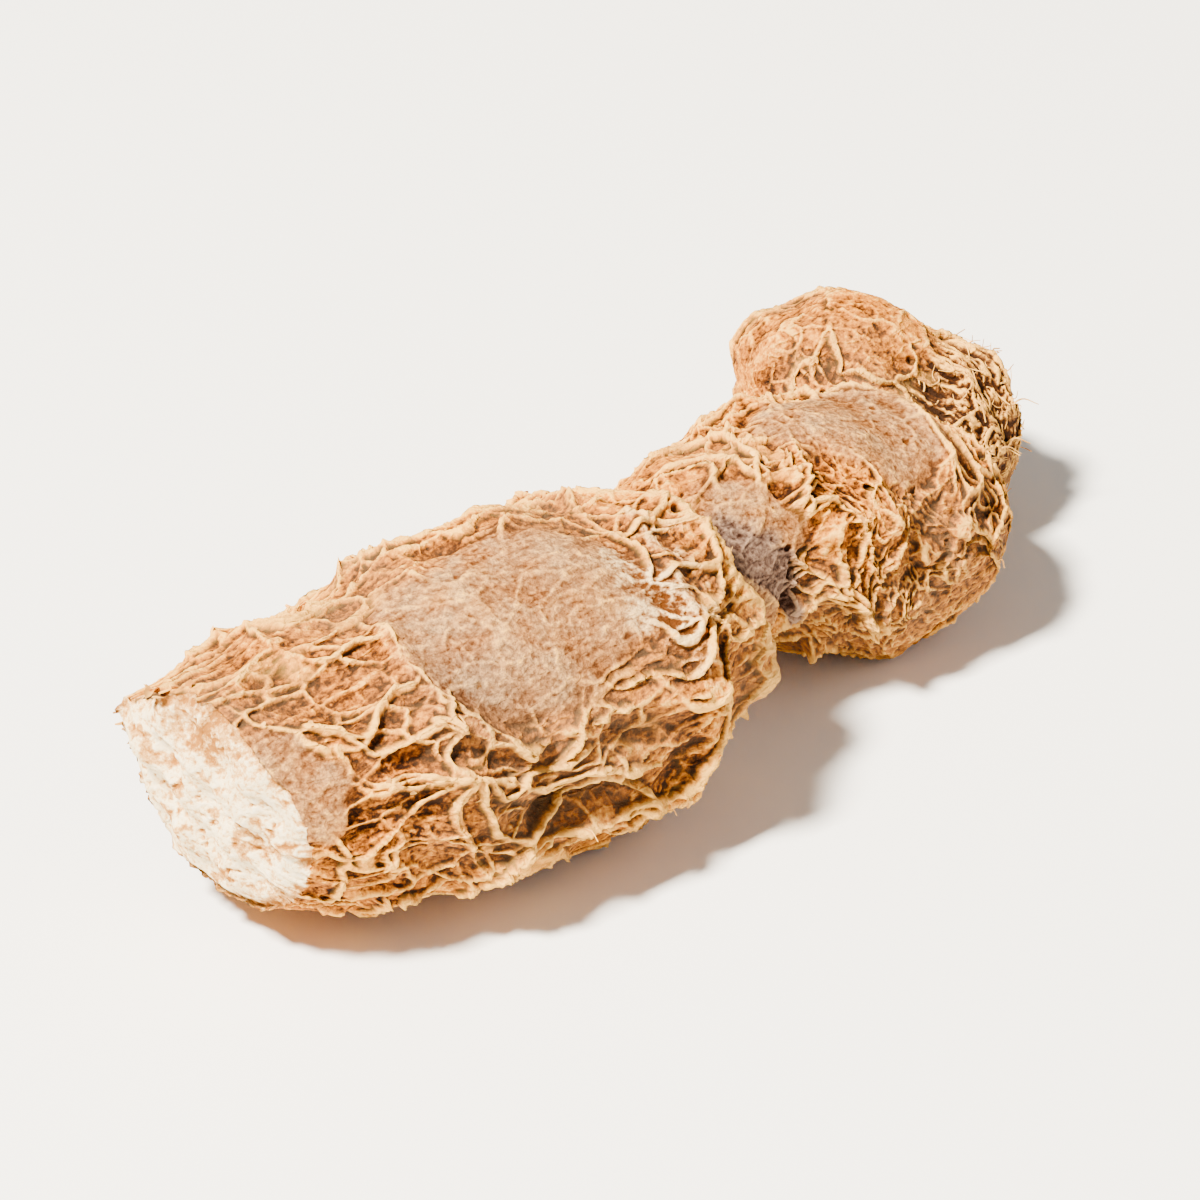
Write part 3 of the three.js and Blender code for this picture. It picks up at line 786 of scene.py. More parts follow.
@dataclass
class SkinGrid:
    """Closed rings of points with the looks' values at each, ready to become a mesh."""

    points: Grid
    start_pole: Grid
    end_pole: Grid
    values: dict[str, Grid]

    def outward(self) -> Grid:
        """The unit direction away from the surface at each point."""
        down_rows = np.gradient(self.points, axis=0)
        wrapped = np.concatenate([self.points[:, -1:], self.points, self.points[:, :1]], axis=1)
        round_ring = (wrapped[:, 2:] - wrapped[:, :-2]) / 2
        normal = np.cross(round_ring, down_rows)
        return normal / np.maximum(np.linalg.norm(normal, axis=2, keepdims=True), 1e-9)

    def to_mesh(self, name: str) -> bpy.types.Mesh:
        """Builds the closed mesh, in metres, with its values as point attributes.

        Args:
            name: The mesh's name.

        Returns:
            The new mesh.
        """
        rows, around = self.points.shape[:2]
        flat = np.vstack([self.start_pole[None], self.points.reshape(-1, 3), self.end_pole[None]])
        flat = flat - np.array(ORIGIN)
        flat[:, 2] = np.maximum(flat[:, 2], 0)
        row = np.arange(rows - 1)[:, None] * around + 1
        turn = np.arange(around)[None, :]
        ahead = (turn + 1) % around
        quads = np.stack([row + turn, row + ahead, row + around + ahead, row + around + turn], axis=-1)
        first = np.stack([np.zeros(around, int), 1 + ahead[0], 1 + turn[0]], axis=-1)
        base = 1 + (rows - 1) * around
        last = np.stack([np.full(around, len(flat) - 1), base + turn[0], base + ahead[0]], axis=-1)
        corners = np.concatenate([first.ravel(), quads.ravel(), last.ravel()])
        sizes = np.concatenate([np.full(around, 3), np.full(quads.size // 4, 4), np.full(around, 3)])
        mesh = bpy.data.meshes.new(name)
        mesh.vertices.add(len(flat))
        mesh.vertices.foreach_set("co", (flat * MM).ravel())
        mesh.loops.add(len(corners))
        mesh.loops.foreach_set("vertex_index", corners.astype(np.int32))
        mesh.polygons.add(len(sizes))
        starts = np.concatenate([[0], np.cumsum(sizes)[:-1]])
        mesh.polygons.foreach_set("loop_start", starts.astype(np.int32))
        mesh.polygons.foreach_set("loop_total", sizes.astype(np.int32))
        mesh.update(calc_edges=True)
        mesh.validate()
        for key, grid in self.values.items():
            ends = np.concatenate([[grid[0].mean()], grid.ravel(), [grid[-1].mean()]])
            mesh.attributes.new(key, "FLOAT", "POINT").data.foreach_set("value", ends.astype(np.float32))
        return mesh


@dataclass(frozen=True)
class Sweep:
    """Where the rings of a skin lie along the axis, and how large each is."""

    along: Grid
    scale: Grid

    @staticmethod
    def rounded(start: float, end: float, rows: int) -> "Sweep":
        """Rings along an end that closes like a quarter of an ellipse, from full size to nothing."""
        turn = np.arange(rows) / rows * math.pi / 2
        return Sweep(start + (end - start) * np.sin(turn), np.cos(turn))

    @staticmethod
    def even(start: float, end: float, rows: int) -> "Sweep":
        """Evenly spaced rings of full size."""
        return Sweep(start + (end - start) * np.arange(rows) / rows, np.ones(rows))

    @staticmethod
    def shut(along: float, rows: int) -> "Sweep":
        """Rings at one place that shrink towards the axis."""
        return Sweep(np.full(rows, along), 1 - np.arange(1, rows + 1) / (rows + 1))

    def turned(self) -> "Sweep":
        """The same rings from the other end on."""
        return Sweep(self.along[::-1], self.scale[::-1])

    def then(self, other: "Sweep") -> "Sweep":
        """These rings followed by others."""
        return Sweep(np.concatenate([self.along, other.along]), np.concatenate([self.scale, other.scale]))


@dataclass
class LobeBuilder:
    """Sweeps the lobes' fine skins along their axes."""

    sculptor: SkinSculptor
    around: int = 640
    knob_around: int = 480
    row_gap: float = 0.068
    split: float = 28.3
    tuck: float = 24.0
    finger_cap: float = 6.6
    knob_cap: float = 4.4
    face_rows: int = 120
    finger_cap_rows: int = 120
    knob_cap_rows: int = 100
    shut_rows: int = 3

    def build(self, lobe: Lobe) -> SkinGrid:
        """Builds one of the lobes' skins."""
        return {Lobe.ONE: self.lobe_one, Lobe.TWO: self.lobe_two, Lobe.THREE: self.lobe_three}[lobe]()

    def sweep(self, axis: Axis, rings: Sweep, lobe: Lobe, around: int) -> SkinGrid:
        """Sweeps the sections and raises the relief on them.

        Args:
            axis: The lobe's axis.
            rings: The rings' places and sizes.
            lobe: Which skin it is.
            around: How many points each ring has.

        Returns:
            The skin, with its poles on the axis.
        """
        share = axis.share_at(rings.along)
        table = axis.row_at(share)
        tangent, side, up = (frame[:, None, :] for frame in axis.frames(share))
        turn = np.arange(around) / around * 2 * math.pi
        sine = np.sin(turn)[None, :]
        cosine = np.cos(turn)[None, :]
        scale = rings.scale[:, None]
        width = np.where(sine > 0, table[:, 3:4], table[:, 4:5]) * scale
        height = np.where(cosine > 0, table[:, 5:6], table[:, 6:7]) * scale
        reach = np.hypot(sine * width, cosine * height)
        along, turns = np.broadcast_to(rings.along[:, None], reach.shape), np.broadcast_to(turn, reach.shape)
        at = Places(along, turns, reach)
        relief = self.sculptor.knob(at) if lobe is Lobe.THREE else self.sculptor.finger(at, lobe)
        across = side * (sine * (width + relief.raised))[..., None]
        offset = across + up * (cosine * (height + relief.raised))[..., None]
        forward = side * cosine[..., None] - up * sine[..., None]
        shift = relief.whole("lean_along")
        if lobe is Lobe.ONE:
            shift = shift + self.break_shift(at, offset)
        points = table[:, None, :3] + offset + tangent * shift[..., None]
        points = points + forward * relief.lean_around[..., None]
        grid = SkinGrid(points, table[0, :3], table[-1, :3], self.looks(relief))
        grid.points = points + grid.outward() * relief.fine[..., None]
        return grid

    def break_shift(self, at: Places, offset: Grid) -> Grid:
        """Leans the broken end, with the skin's ragged edge standing past the flesh.

        Args:
            at: The places on the plain form.
            offset: How far each point lies from the axis.

        Returns:
            The lean along the axis in mm.
        """
        lean = (-0.2 * np.maximum(offset[..., 2], 0) - 0.15 * offset[..., 1]) * bell(at.along / 4.5)
        ragged = self.sculptor.noise(at.on_tube(6.5, 0.0), (1.0, 0.9), 4, 19)
        torn = self.sculptor.torn_edge(at)
        standing = np.maximum(0.2 + 0.5 * torn + (0.3 + 0.6 * torn) * ragged, 0.05)
        return lean - standing * np.exp(-at.along / 0.35)

    @staticmethod
    def looks(relief: Relief) -> dict[str, Grid]:
        """Turns the relief into the values that the finish reads. Its tone carries painted light and shade:
        lighter on raised places, darker in hollows, a painted shadow at the foot of ridges, and painted shade
        on the collar's inner wall.
        """
        total = relief.raised + relief.fine
        near = total - soften(total, 2)
        wide = total - soften(total, 12)
        dip_shadow = np.minimum(total - soften(total, 1), 0)
        # painted light and shade: the tone rises on raised places and falls in hollows, with a dark painted
        # shadow in the narrow dips at the foot of ridges and painted shade on the collar's inner wall
        tone_and_shade = np.clip(0.50 + 2.7 * near + 0.55 * wide + 6.5 * dip_shadow - 0.3 * relief.shade, 0, 1)
        shares = {name: relief.whole(name) for name in ("crest", "tight", "ash", "bleach", "frill", "fibre")}
        return {"tone_and_shade": tone_and_shade, **shares, "flesh": np.zeros(total.shape)}

    def lobe_three(self) -> SkinGrid:
        """Builds lobe three, rounded at both ends."""
        end = KNOB_AXIS.lengths()[-1]
        cap = self.knob_cap
        round_end = Sweep.rounded(end - cap, end, self.knob_cap_rows)
        start = Sweep.rounded(cap, 0.0, self.knob_cap_rows).turned()
        middle = Sweep.even(cap, end - cap, int((end - 2 * cap) / self.row_gap))
        rings = Sweep(start.along[:-1], start.scale[:-1]).then(middle).then(round_end)
        return self.sweep(KNOB_AXIS, rings, Lobe.THREE, self.knob_around)

    def lobe_two(self) -> SkinGrid:
        """Builds the neck and lobe two. The neck starts inside the collar."""
        end = FINGER_AXIS.lengths()[-1]
        tip = end - self.finger_cap
        middle = Sweep.even(self.tuck, tip, int((tip - self.tuck) / self.row_gap))
        start = Sweep.shut(self.tuck, self.shut_rows).turned()
        rings = start.then(middle).then(Sweep.rounded(tip, end, self.finger_cap_rows))
        return self.sweep(FINGER_AXIS, rings, Lobe.TWO, self.around)

    def lobe_one(self) -> SkinGrid:
        """Builds lobe one with its broken face and its collar, shut inside the neck."""
        middle = Sweep.even(0.0, self.split, int(self.split / self.row_gap))
        rings = middle.then(Sweep.shut(self.split, self.shut_rows))
        skin = self.sweep(FINGER_AXIS, rings, Lobe.ONE, self.around)
        face, tone_and_shade = self.broken_face(skin.points[0])
        skin.points = np.concatenate([face, skin.points])
        skin.start_pole = face[0].mean(axis=0)
        for key, grid in skin.values.items():
            filling = {"tone_and_shade": tone_and_shade, "flesh": np.ones(tone_and_shade.shape)}.get(key, np.zeros(tone_and_shade.shape))
            skin.values[key] = np.concatenate([filling, grid])
        return skin

    def broken_face(self, rim: Grid) -> tuple[Grid, Grid]:
        """Builds the chalky broken end from its middle out to the rim, a little below the skin's edge.

        Args:
            rim: The first ring of the skin.

        Returns:
            The rings' points and their tone, with painted shade in the crumbs' hollows and under the skin's
            edge, and darker holes.
        """
        middle = FINGER_AXIS.row_at(np.zeros(1))[0, :3]
        tangent = FINGER_AXIS.frames(np.zeros(1))[0][0]
        share = (np.arange(1, self.face_rows) / self.face_rows)[:, None]
        held = rim.copy()
        held[:, 0] = soften(rim[None, :, :].repeat(3, axis=0)[..., 0], 8)[1]
        flat = middle + (held[None] - middle) * share[..., None]
        y, z = flat[..., 1], flat[..., 2]
        across, rise = rim[None, :, 1] - middle[1], rim[None, :, 2] - middle[2]
        grain = waves(BREAK_GRAIN, share * across, share * rise)
        texture, holes = self.face_texture(y, z)
        noise = self.sculptor.mottle
        wide_gap = 0.15 + 0.6 * noise.layered(0 * y[-1:] + 7, y[-1:] * 0.45, z[-1:] * 0.45, 2)
        gap = np.clip(wide_gap, 0.02, 0.35)
        out = 1.6 * (1 - share ** 2) + grain * (1 - share ** 4) + texture * (1 - share ** 8)
        out = out - gap * smooth_step(0.86, 0.97, share)
        near = texture - soften(texture, 5)
        stain = 0.3 * bell((y + 5.5) / 2.2) * bell((z - 4.6) / 1.6) + 0.16 * smooth_step(10.5, 14.5, z)
        blots = 0.3 * smooth_step(0.5, 0.75, noise.layered(0 * y + 9, y * 1.1, z * 1.1, 3))
        # painted shade: the tone falls in the crumbs' hollows and in a band where the flesh sinks under the
        # skin's edge; it is also darker in the holes and at the stains and blots
        tone_and_shade = 0.62 + 1.6 * near - 0.25 * holes - stain - blots - gap * smooth_step(0.9, 1.0, share)
        return flat - tangent * out[..., None], np.clip(tone_and_shade, 0, 1)

    def face_texture(self, y: Grid, z: Grid) -> tuple[Grid, Grid]:
        """Works out the crumbly texture of the broken flesh.

        Args:
            y: Places across the face, in mm.
            z: Places up it, in mm.

        Returns:
            The texture's height in mm, and a share that is near 1 in the holes.
        """
        noise = self.sculptor.mottle
        rough = 0.16 * noise.layered(y * 0.6, z * 0.6, 0 * y + 3, 3)
        rough = rough + 0.06 * noise.layered(y * 3, z * 3, 0 * y, 3)
        bent = 0.35 * noise.layered(y * 1.3, z * 1.3, 0 * y + 5, 3)
        crumbs, pits = self.sculptor.block(CRUMB_SEED), self.sculptor.block(PIT_NET.seed)
        crumb, border, level = crumbs.read(0 * y + 2.5, y / 1.0 + bent, z / 0.8 - 0.6 * bent)
        deep = cord(crumb / np.maximum(0.05 + 0.45 * level, 0.02))
        speck, _, small = pits.read(0 * y + 2.5, y / 0.5 + bent, z / 0.45 + bent)
        holes = np.maximum(0.8 * deep, 0.5 * cord(speck / np.maximum(0.05 + 0.6 * small, 0.02)))
        return rough - 0.25 * holes - 0.05 * np.exp(-border / 0.08), holes


@dataclass
class NodeSketch:
    """Short ways to add nodes to a material or a node group."""

    tree: bpy.types.NodeTree

    def add(self, kind: str, inputs: NodeInputs | None = None, **settings: str) -> bpy.types.Node:
        """Adds a node.

        Args:
            kind: The node's type.
            inputs: For each input that isn't left as it is, a socket to join or a value to set.
            settings: The node's own settings, such as its operation.

        Returns:
            The node.
        """
        node = self.tree.nodes.new(kind)
        for key, value in settings.items():
            setattr(node, key, value)
        for key, value in (inputs or {}).items():
            if isinstance(value, Socket):
                self.tree.links.new(value, node.inputs[key])
            else:
                node.inputs[key].default_value = value
        return node

    def place(self) -> Socket:
        """Gives the object's own coordinates."""
        return self.add("ShaderNodeTexCoord").outputs["Object"]

    def attribute(self, name: str) -> Socket:
        """Reads a point attribute as a number."""
        return self.add("ShaderNodeAttribute", attribute_name=name).outputs["Fac"]

    def noise(
            self, place: Socket, scale: float, detail: float, roughness: float, output: str = "Fac",
    ) -> Socket:
        """Adds a noise texture with a scale in waves per metre, and gives its value or its colour."""
        inputs = {"Vector": place, "Scale": scale, "Detail": detail, "Roughness": roughness}
        return self.add("ShaderNodeTexNoise", inputs).outputs[output]

    def stretched(self, place: Socket, scale: tuple[float, ...], warp: float, warp_scale: float) -> Socket:
        """Bends the coordinates with noise, and scales them along each axis.

        Args:
            place: The coordinates.
            scale: The factor along each axis.
            warp: How far they are bent, in metres.
            warp_scale: Waves of the bending per metre.

        Returns:
            The new coordinates.
        """
        bend = self.noise(place, warp_scale, 2, 0.5, output="Color")
        moved = self.add("ShaderNodeVectorMath", {0: bend, 1: (warp,) * 3, 2: place}, operation="MULTIPLY_ADD")
        inputs = {0: moved.outputs[0], 1: scale}
        return self.add("ShaderNodeVectorMath", inputs, operation="MULTIPLY").outputs[0]

    def veins(self, place: Socket, scale: float) -> Socket:
        """Adds a cell texture and gives the distance to the cells' borders."""
        inputs = {"Vector": place, "Scale": scale}
        return self.add("ShaderNodeTexVoronoi", inputs, feature="DISTANCE_TO_EDGE").outputs["Distance"]

    def bump(self, height: Socket, distance: float) -> Socket:
        """Turns a height into a bent normal, with the size of the bumps in metres."""
        inputs = {"Strength": 1.0, "Distance": distance, "Height": height}
        return self.add("ShaderNodeBump", inputs).outputs["Normal"]

    def math(self, operation: str, *values: Socket | float) -> Socket:
        """Adds a math node whose inputs are sockets or numbers."""
        return self.add("ShaderNodeMath", dict(enumerate(values)), operation=operation).outputs[0]

    def total(self, first: Socket, *others: Socket | float) -> Socket:
        """Adds the values up."""
        return functools.reduce(functools.partial(self.math, "ADD"), others, first)

    def product(self, first: Socket, *others: Socket | float) -> Socket:
        """Multiplies the values."""
        return functools.reduce(functools.partial(self.math, "MULTIPLY"), others, first)

    def less(self, first: Socket | float, second: Socket) -> Socket:
        """Takes the second value from the first."""
        return self.math("SUBTRACT", first, second)

    def scaled(self, value: Socket, factor: float, start: float) -> Socket:
        """Multiplies a value and adds a start to it."""
        return self.math("MULTIPLY_ADD", value, factor, start)

    def mask(
            self, value: Socket, start: float, end: float, first: Colour = BLACK, last: Colour = WHITE,
    ) -> Socket:
        """Goes from one colour to another while a value goes from start to end."""
        return self.ramp(value, ((start, first), (end, last)))

    def ramp(self, factor: Socket, stops: tuple[tuple[float, Colour], ...]) -> Socket:
        """Adds a colour ramp with the given places and colours."""
        node = self.tree.nodes.new("ShaderNodeValToRGB")
        elements = node.color_ramp.elements
        elements.remove(elements[-1])
        for index, (place, colour) in enumerate(stops):
            element = elements[0] if index == 0 else elements.new(place)
            element.position = place
            element.color = (*colour, 1)
        self.tree.links.new(factor, node.inputs["Fac"])
        return node.outputs["Color"]

    def mix(self, factor: Socket, *sides: Socket | Colour) -> Socket:
        """Mixes two colours, each a socket or a plain colour."""
        first, second = ((*side, 1) if isinstance(side, tuple) else side for side in sides)
        return self.add("ShaderNodeMix", {0: factor, 6: first, 7: second}, data_type="RGBA").outputs[2]


def plain_material(name: str) -> tuple[bpy.types.Material, bpy.types.Node]:
    """Adds a material that hardly shines.

    Args:
        name: The material's name.

    Returns:
        The material and its surface shader.
    """
    material = bpy.data.materials.new(name)
    material.use_nodes = True
    shader = material.node_tree.nodes["Principled BSDF"]
    shader.inputs["Specular IOR Level"].default_value = LOW_SPECULAR
    return material, shader


@dataclass(frozen=True)
class SkinPattern:
    """The shader sockets that the skin's colours and bumps share."""

    read: dict[str, Socket]
    fine: Socket
    middle: Socket
    wander: Socket
    speck: Socket
    hue: Socket
    shown: Socket
    bare_veins: Socket
    small_veins: Socket


@dataclass(frozen=True)
class DriedSkinFinish:
    """The root's dried skin: pale crests, tan plates, creases darkened with painted shade, tight grey patches
    and chalky flesh.
    """

    name: str = "dried_skin"
    # painted shade: near black, where the tone falls in creases, hollows and at the foot of ridges
    crease_shadow: Colour = (0.014, 0.003, 0.0004)
    deep: Colour = (0.11, 0.028, 0.002)
    plate: Colour = (0.38, 0.112, 0.005)
    pale: Colour = (0.66, 0.23, 0.012)
    crest: Colour = (0.94, 0.48, 0.085)
    patch: Colour = (0.20, 0.115, 0.056)
    patch_pale: Colour = (0.43, 0.25, 0.11)
    ash: Colour = (0.10, 0.06, 0.045)
    ash_pale: Colour = (0.30, 0.19, 0.13)
    chalk: Colour = (0.92, 0.66, 0.32)
    chalk_shade: Colour = (0.50, 0.27, 0.11)
    straw: Colour = (0.18, 0.075, 0.02)
    flesh: Colour = (0.94, 0.74, 0.42)
    flesh_pale: Colour = (0.97, 0.84, 0.62)
    flesh_tan: Colour = (0.70, 0.38, 0.13)
    flesh_hole: Colour = (0.34, 0.13, 0.02)
    bump_height: float = 0.00017

    def build(self) -> bpy.types.Material:
        """Builds the material.

        Returns:
            The new material.
        """
        material, shader = plain_material(self.name)
        sketch = NodeSketch(material.node_tree)
        pattern = self.pattern(sketch)
        outcome = {
            "Base Color": self.colour(sketch, pattern),
            "Roughness": sketch.scaled(pattern.middle, 0.25, 0.6),
            "Normal": sketch.bump(self.grain(sketch, pattern), self.bump_height),
        }
        for key, socket in outcome.items():
            material.node_tree.links.new(socket, shader.inputs[key])
        return material

    @staticmethod
    def pattern(sketch: NodeSketch) -> SkinPattern:
        """Adds the skin's values, noises and veins.

        Args:
            sketch: What adds the nodes.

        Returns:
            Their sockets.
        """
        keys = ("tone_and_shade", "crest", "tight", "ash", "bleach", "fibre", "flesh")
        read = {key: sketch.attribute(key) for key in keys}
        place = sketch.place()
        fine = sketch.noise(place, scale=3600, detail=5, roughness=0.7)
        middle = sketch.noise(place, scale=560, detail=5, roughness=0.65)
        broad = sketch.noise(place, scale=110, detail=3, roughness=0.5)
        stretched = sketch.stretched(place, (0.45, 1.0, 1.0), warp=0.0009, warp_scale=420)
        veins = sketch.mask(sketch.veins(stretched, scale=900), 0.0, 0.09, WHITE, BLACK)
        shown = sketch.mask(middle, 0.42, 0.56)
        bare = sketch.product(shown, sketch.less(1.0, sketch.math("MAXIMUM", read["tight"], read["flesh"])))
        return SkinPattern(
            read=read,
            fine=fine,
            middle=middle,
            wander=sketch.scaled(middle, 0.5, -0.25),
            speck=sketch.scaled(fine, 1.3, -0.65),
            hue=sketch.mask(broad, 0.40, 0.62, BLACK, (0.35, 0.35, 0.35)),
            shown=shown,
            bare_veins=sketch.product(veins, bare),
            small_veins=sketch.mask(sketch.veins(stretched, scale=2100), 0.0, 0.12, WHITE, BLACK),
        )

    def colour(self, sketch: NodeSketch, pattern: SkinPattern) -> Socket:
        """Mixes the colours, from the open skin to the patches, crests, web, chalk, fibres and flesh.

        Args:
            sketch: What adds the nodes.
            pattern: The shared sockets.

        Returns:
            The colour.
        """
        read, middle = pattern.read, pattern.middle
        veins = sketch.product(pattern.bare_veins, 0.22)
        tone_and_shade = sketch.total(read["tone_and_shade"], pattern.wander, pattern.speck, veins)
        cracks = sketch.product(pattern.small_veins, sketch.less(1.0, pattern.shown), 0.12)
        tone_and_shade = sketch.less(tone_and_shade, cracks)
        # the tone's low end is painted shade in creases and hollows, and its high end is partly painted light
        # on raised places over the skin's own pale crest colour
        stops = (
            (0.0, self.crease_shadow), (0.2, self.deep), (0.42, self.plate), (0.64, self.pale), (0.88, self.crest),
        )
        skin = sketch.mix(pattern.hue, sketch.ramp(tone_and_shade, stops), self.patch)
        stops = ((0.12, self.deep), (0.42, self.patch), (0.62, self.patch_pale), (0.86, self.crest))
        edge = sketch.math("SMOOTH_MIN", sketch.scaled(middle, 1.5, -0.12), 1.0, 0.1)
        tight = sketch.product(read["tight"], sketch.math("MAXIMUM", edge, 0.0))
        skin = sketch.mix(tight, skin, sketch.ramp(tone_and_shade, stops))
        skin = sketch.mix(sketch.product(read["crest"], sketch.scaled(middle, 1.1, -0.05)), skin, self.crest)
        web = sketch.ramp(tone_and_shade, ((0.1, self.crease_shadow), (0.4, self.ash), (0.8, self.ash_pale)))
        skin = sketch.mix(sketch.product(read["ash"], 0.9), skin, web)
        chalked = sketch.mask(sketch.total(sketch.product(read["bleach"], 0.3), middle), 0.62, 0.74)
        chalk = sketch.ramp(tone_and_shade, ((0.2, self.deep), (0.44, self.chalk_shade), (0.62, self.chalk)))
        skin = sketch.mix(sketch.product(read["bleach"], chalked, 0.85), skin, chalk)
        straw = sketch.ramp(tone_and_shade, ((0.3, self.crease_shadow), (0.5, self.straw), (0.78, self.crest)))
        skin = sketch.mix(sketch.product(read["fibre"], 0.75), skin, straw)
        stain = sketch.less(sketch.product(pattern.wander, 0.9), sketch.product(pattern.hue, 0.3))
        stops = ((0.15, self.flesh_hole), (0.40, self.flesh_tan), (0.56, self.flesh), (0.9, self.flesh_pale))
        flesh = sketch.ramp(sketch.total(read["tone_and_shade"], sketch.total(stain, pattern.speck)), stops)
        return sketch.mix(read["flesh"], skin, flesh)

    @staticmethod
    def grain(sketch: NodeSketch, pattern: SkinPattern) -> Socket:
        """Adds up the heights of the finest grain. Args and Returns as for colour, but for a height."""
        grains = sketch.total(sketch.product(pattern.fine, 1.1), sketch.product(pattern.middle, 0.9))
        grains = sketch.total(grains, sketch.product(pattern.bare_veins, 0.7))
        off_flesh = sketch.less(0.15, sketch.product(pattern.read["flesh"], 0.15))
        return sketch.less(grains, sketch.product(pattern.small_veins, off_flesh))


@dataclass(frozen=True)
class FrayedFinish:
    """Torn skin and loose fibres: pale straw, darker where the noise is low."""

    name: str = "frayed_skin"
    low: Colour = (0.34, 0.13, 0.02)
    high: Colour = (0.86, 0.46, 0.11)

    def build(self) -> bpy.types.Material:
        """Builds the material.

        Returns:
            The new material.
        """
        material, shader = plain_material(self.name)
        shader.inputs["Roughness"].default_value = 0.8
        sketch = NodeSketch(material.node_tree)
        noise = sketch.noise(sketch.place(), scale=700, detail=3, roughness=0.6)
        colour = sketch.mask(noise, 0.3, 0.6, self.low, self.high)
        material.node_tree.links.new(colour, shader.inputs["Base Color"])
        return material


def finished(obj: bpy.types.Object, name: str) -> bpy.types.Object:
    """Turns an object with live modifiers into a plain mesh object.

    Args:
        obj: The object, which is removed.
        name: The new object's name.

    Returns:
        The plain object, at the origin.
    """
    graph = bpy.context.evaluated_depsgraph_get()
    final = obj.evaluated_get(graph)
    mesh = bpy.data.meshes.new_from_object(final, preserve_all_data_layers=True, depsgraph=graph)
    bpy.data.objects.remove(obj)
    mesh.name = name
    plain = bpy.data.objects.new(name, mesh)
    bpy.context.collection.objects.link(plain)
    return plain


def thinned_skin(grid: SkinGrid, lobe: Lobe) -> bpy.types.Object:
    """Makes the skin's object and thins its mesh where it is plain.

    Args:
        grid: The fine rings.
        lobe: The lobe, which gives the object's name.

    Returns:
        The finished object.
    """
    mesh = grid.to_mesh(lobe.value + "_fine")
    total = len(mesh.loops) - 2 * len(mesh.polygons)
    obj = bpy.data.objects.new(lobe.value + "_fine", mesh)
    bpy.context.collection.objects.link(obj)
    thin = obj.modifiers.new("thin", "DECIMATE")
    thin.ratio = SKIN_TRIANGLES[lobe] / total
    plain = finished(obj, lobe.value)
    plain.data.shade_smooth()
    return plain


def closed_strip(name: str, spine: Grid, half_width: Grid, thickness: float) -> bpy.types.Object:
    """Makes a thin closed strip round a bent line.

    Args:
        name: The object's name.
        spine: The line's points, in metres.
        half_width: The strip's half-width at each point, in metres.
        thickness: How thick the strip is, in metres.

    Returns:
        The strip's object, which isn't in the scene.
    """
    wide = np.zeros_like(spine)
    wide[:, 1] = half_width
    thick = np.array([0, 0, thickness / 2])
    corners = [spine - wide - thick, spine + wide - thick, spine + wide + thick, spine - wide + thick]
    rings = np.stack(corners, axis=1)
    faces = [[0, 3, 2, 1], [4 * len(spine) - 4 + corner for corner in range(4)]]
    for row in range(len(spine) - 1):
        for corner in range(4):
            ahead = (corner + 1) % 4
            faces.append([4 * row + corner, 4 * row + ahead, 4 * row + 4 + ahead, 4 * row + 4 + corner])
    mesh = bpy.data.meshes.new(name)
    mesh.from_pydata(rings.reshape(-1, 3).tolist(), [], faces)
    mesh.update()
    return bpy.data.objects.new(name, mesh)


def flake_shape() -> bpy.types.Object:
    """A torn flake of skin that curls up from its root, 1 mm long."""
    share = np.linspace(0, 1, 5)
    spine = np.stack([share * 0.8, 0.1 * np.sin(5 * share), 0.42 * share ** 1.6 - 0.08], axis=1) * MM
    return closed_strip("flake", spine, np.array([0.42, 0.44, 0.36, 0.3, 0.16]) * MM, 0.04 * MM)


def fibre_shape() -> bpy.types.Object:
    """A loose fibre that runs close over the skin, 1.3 mm long."""
    share = np.linspace(0, 1, 9)
    rise = 0.07 * share ** 2 - 0.1 * (share == 0)
    spine = np.stack([1.3 * share, 0.2 * np.sin(4 * share), rise], axis=1) * MM
    return closed_strip("fibre", spine, np.linspace(0.045, 0.015, 9) * MM, 0.05 * MM)


class Loose(Enum):
    """The small torn shapes that stand on the skin."""

    FLAKE = "flake"
    FIBRE = "fibre"


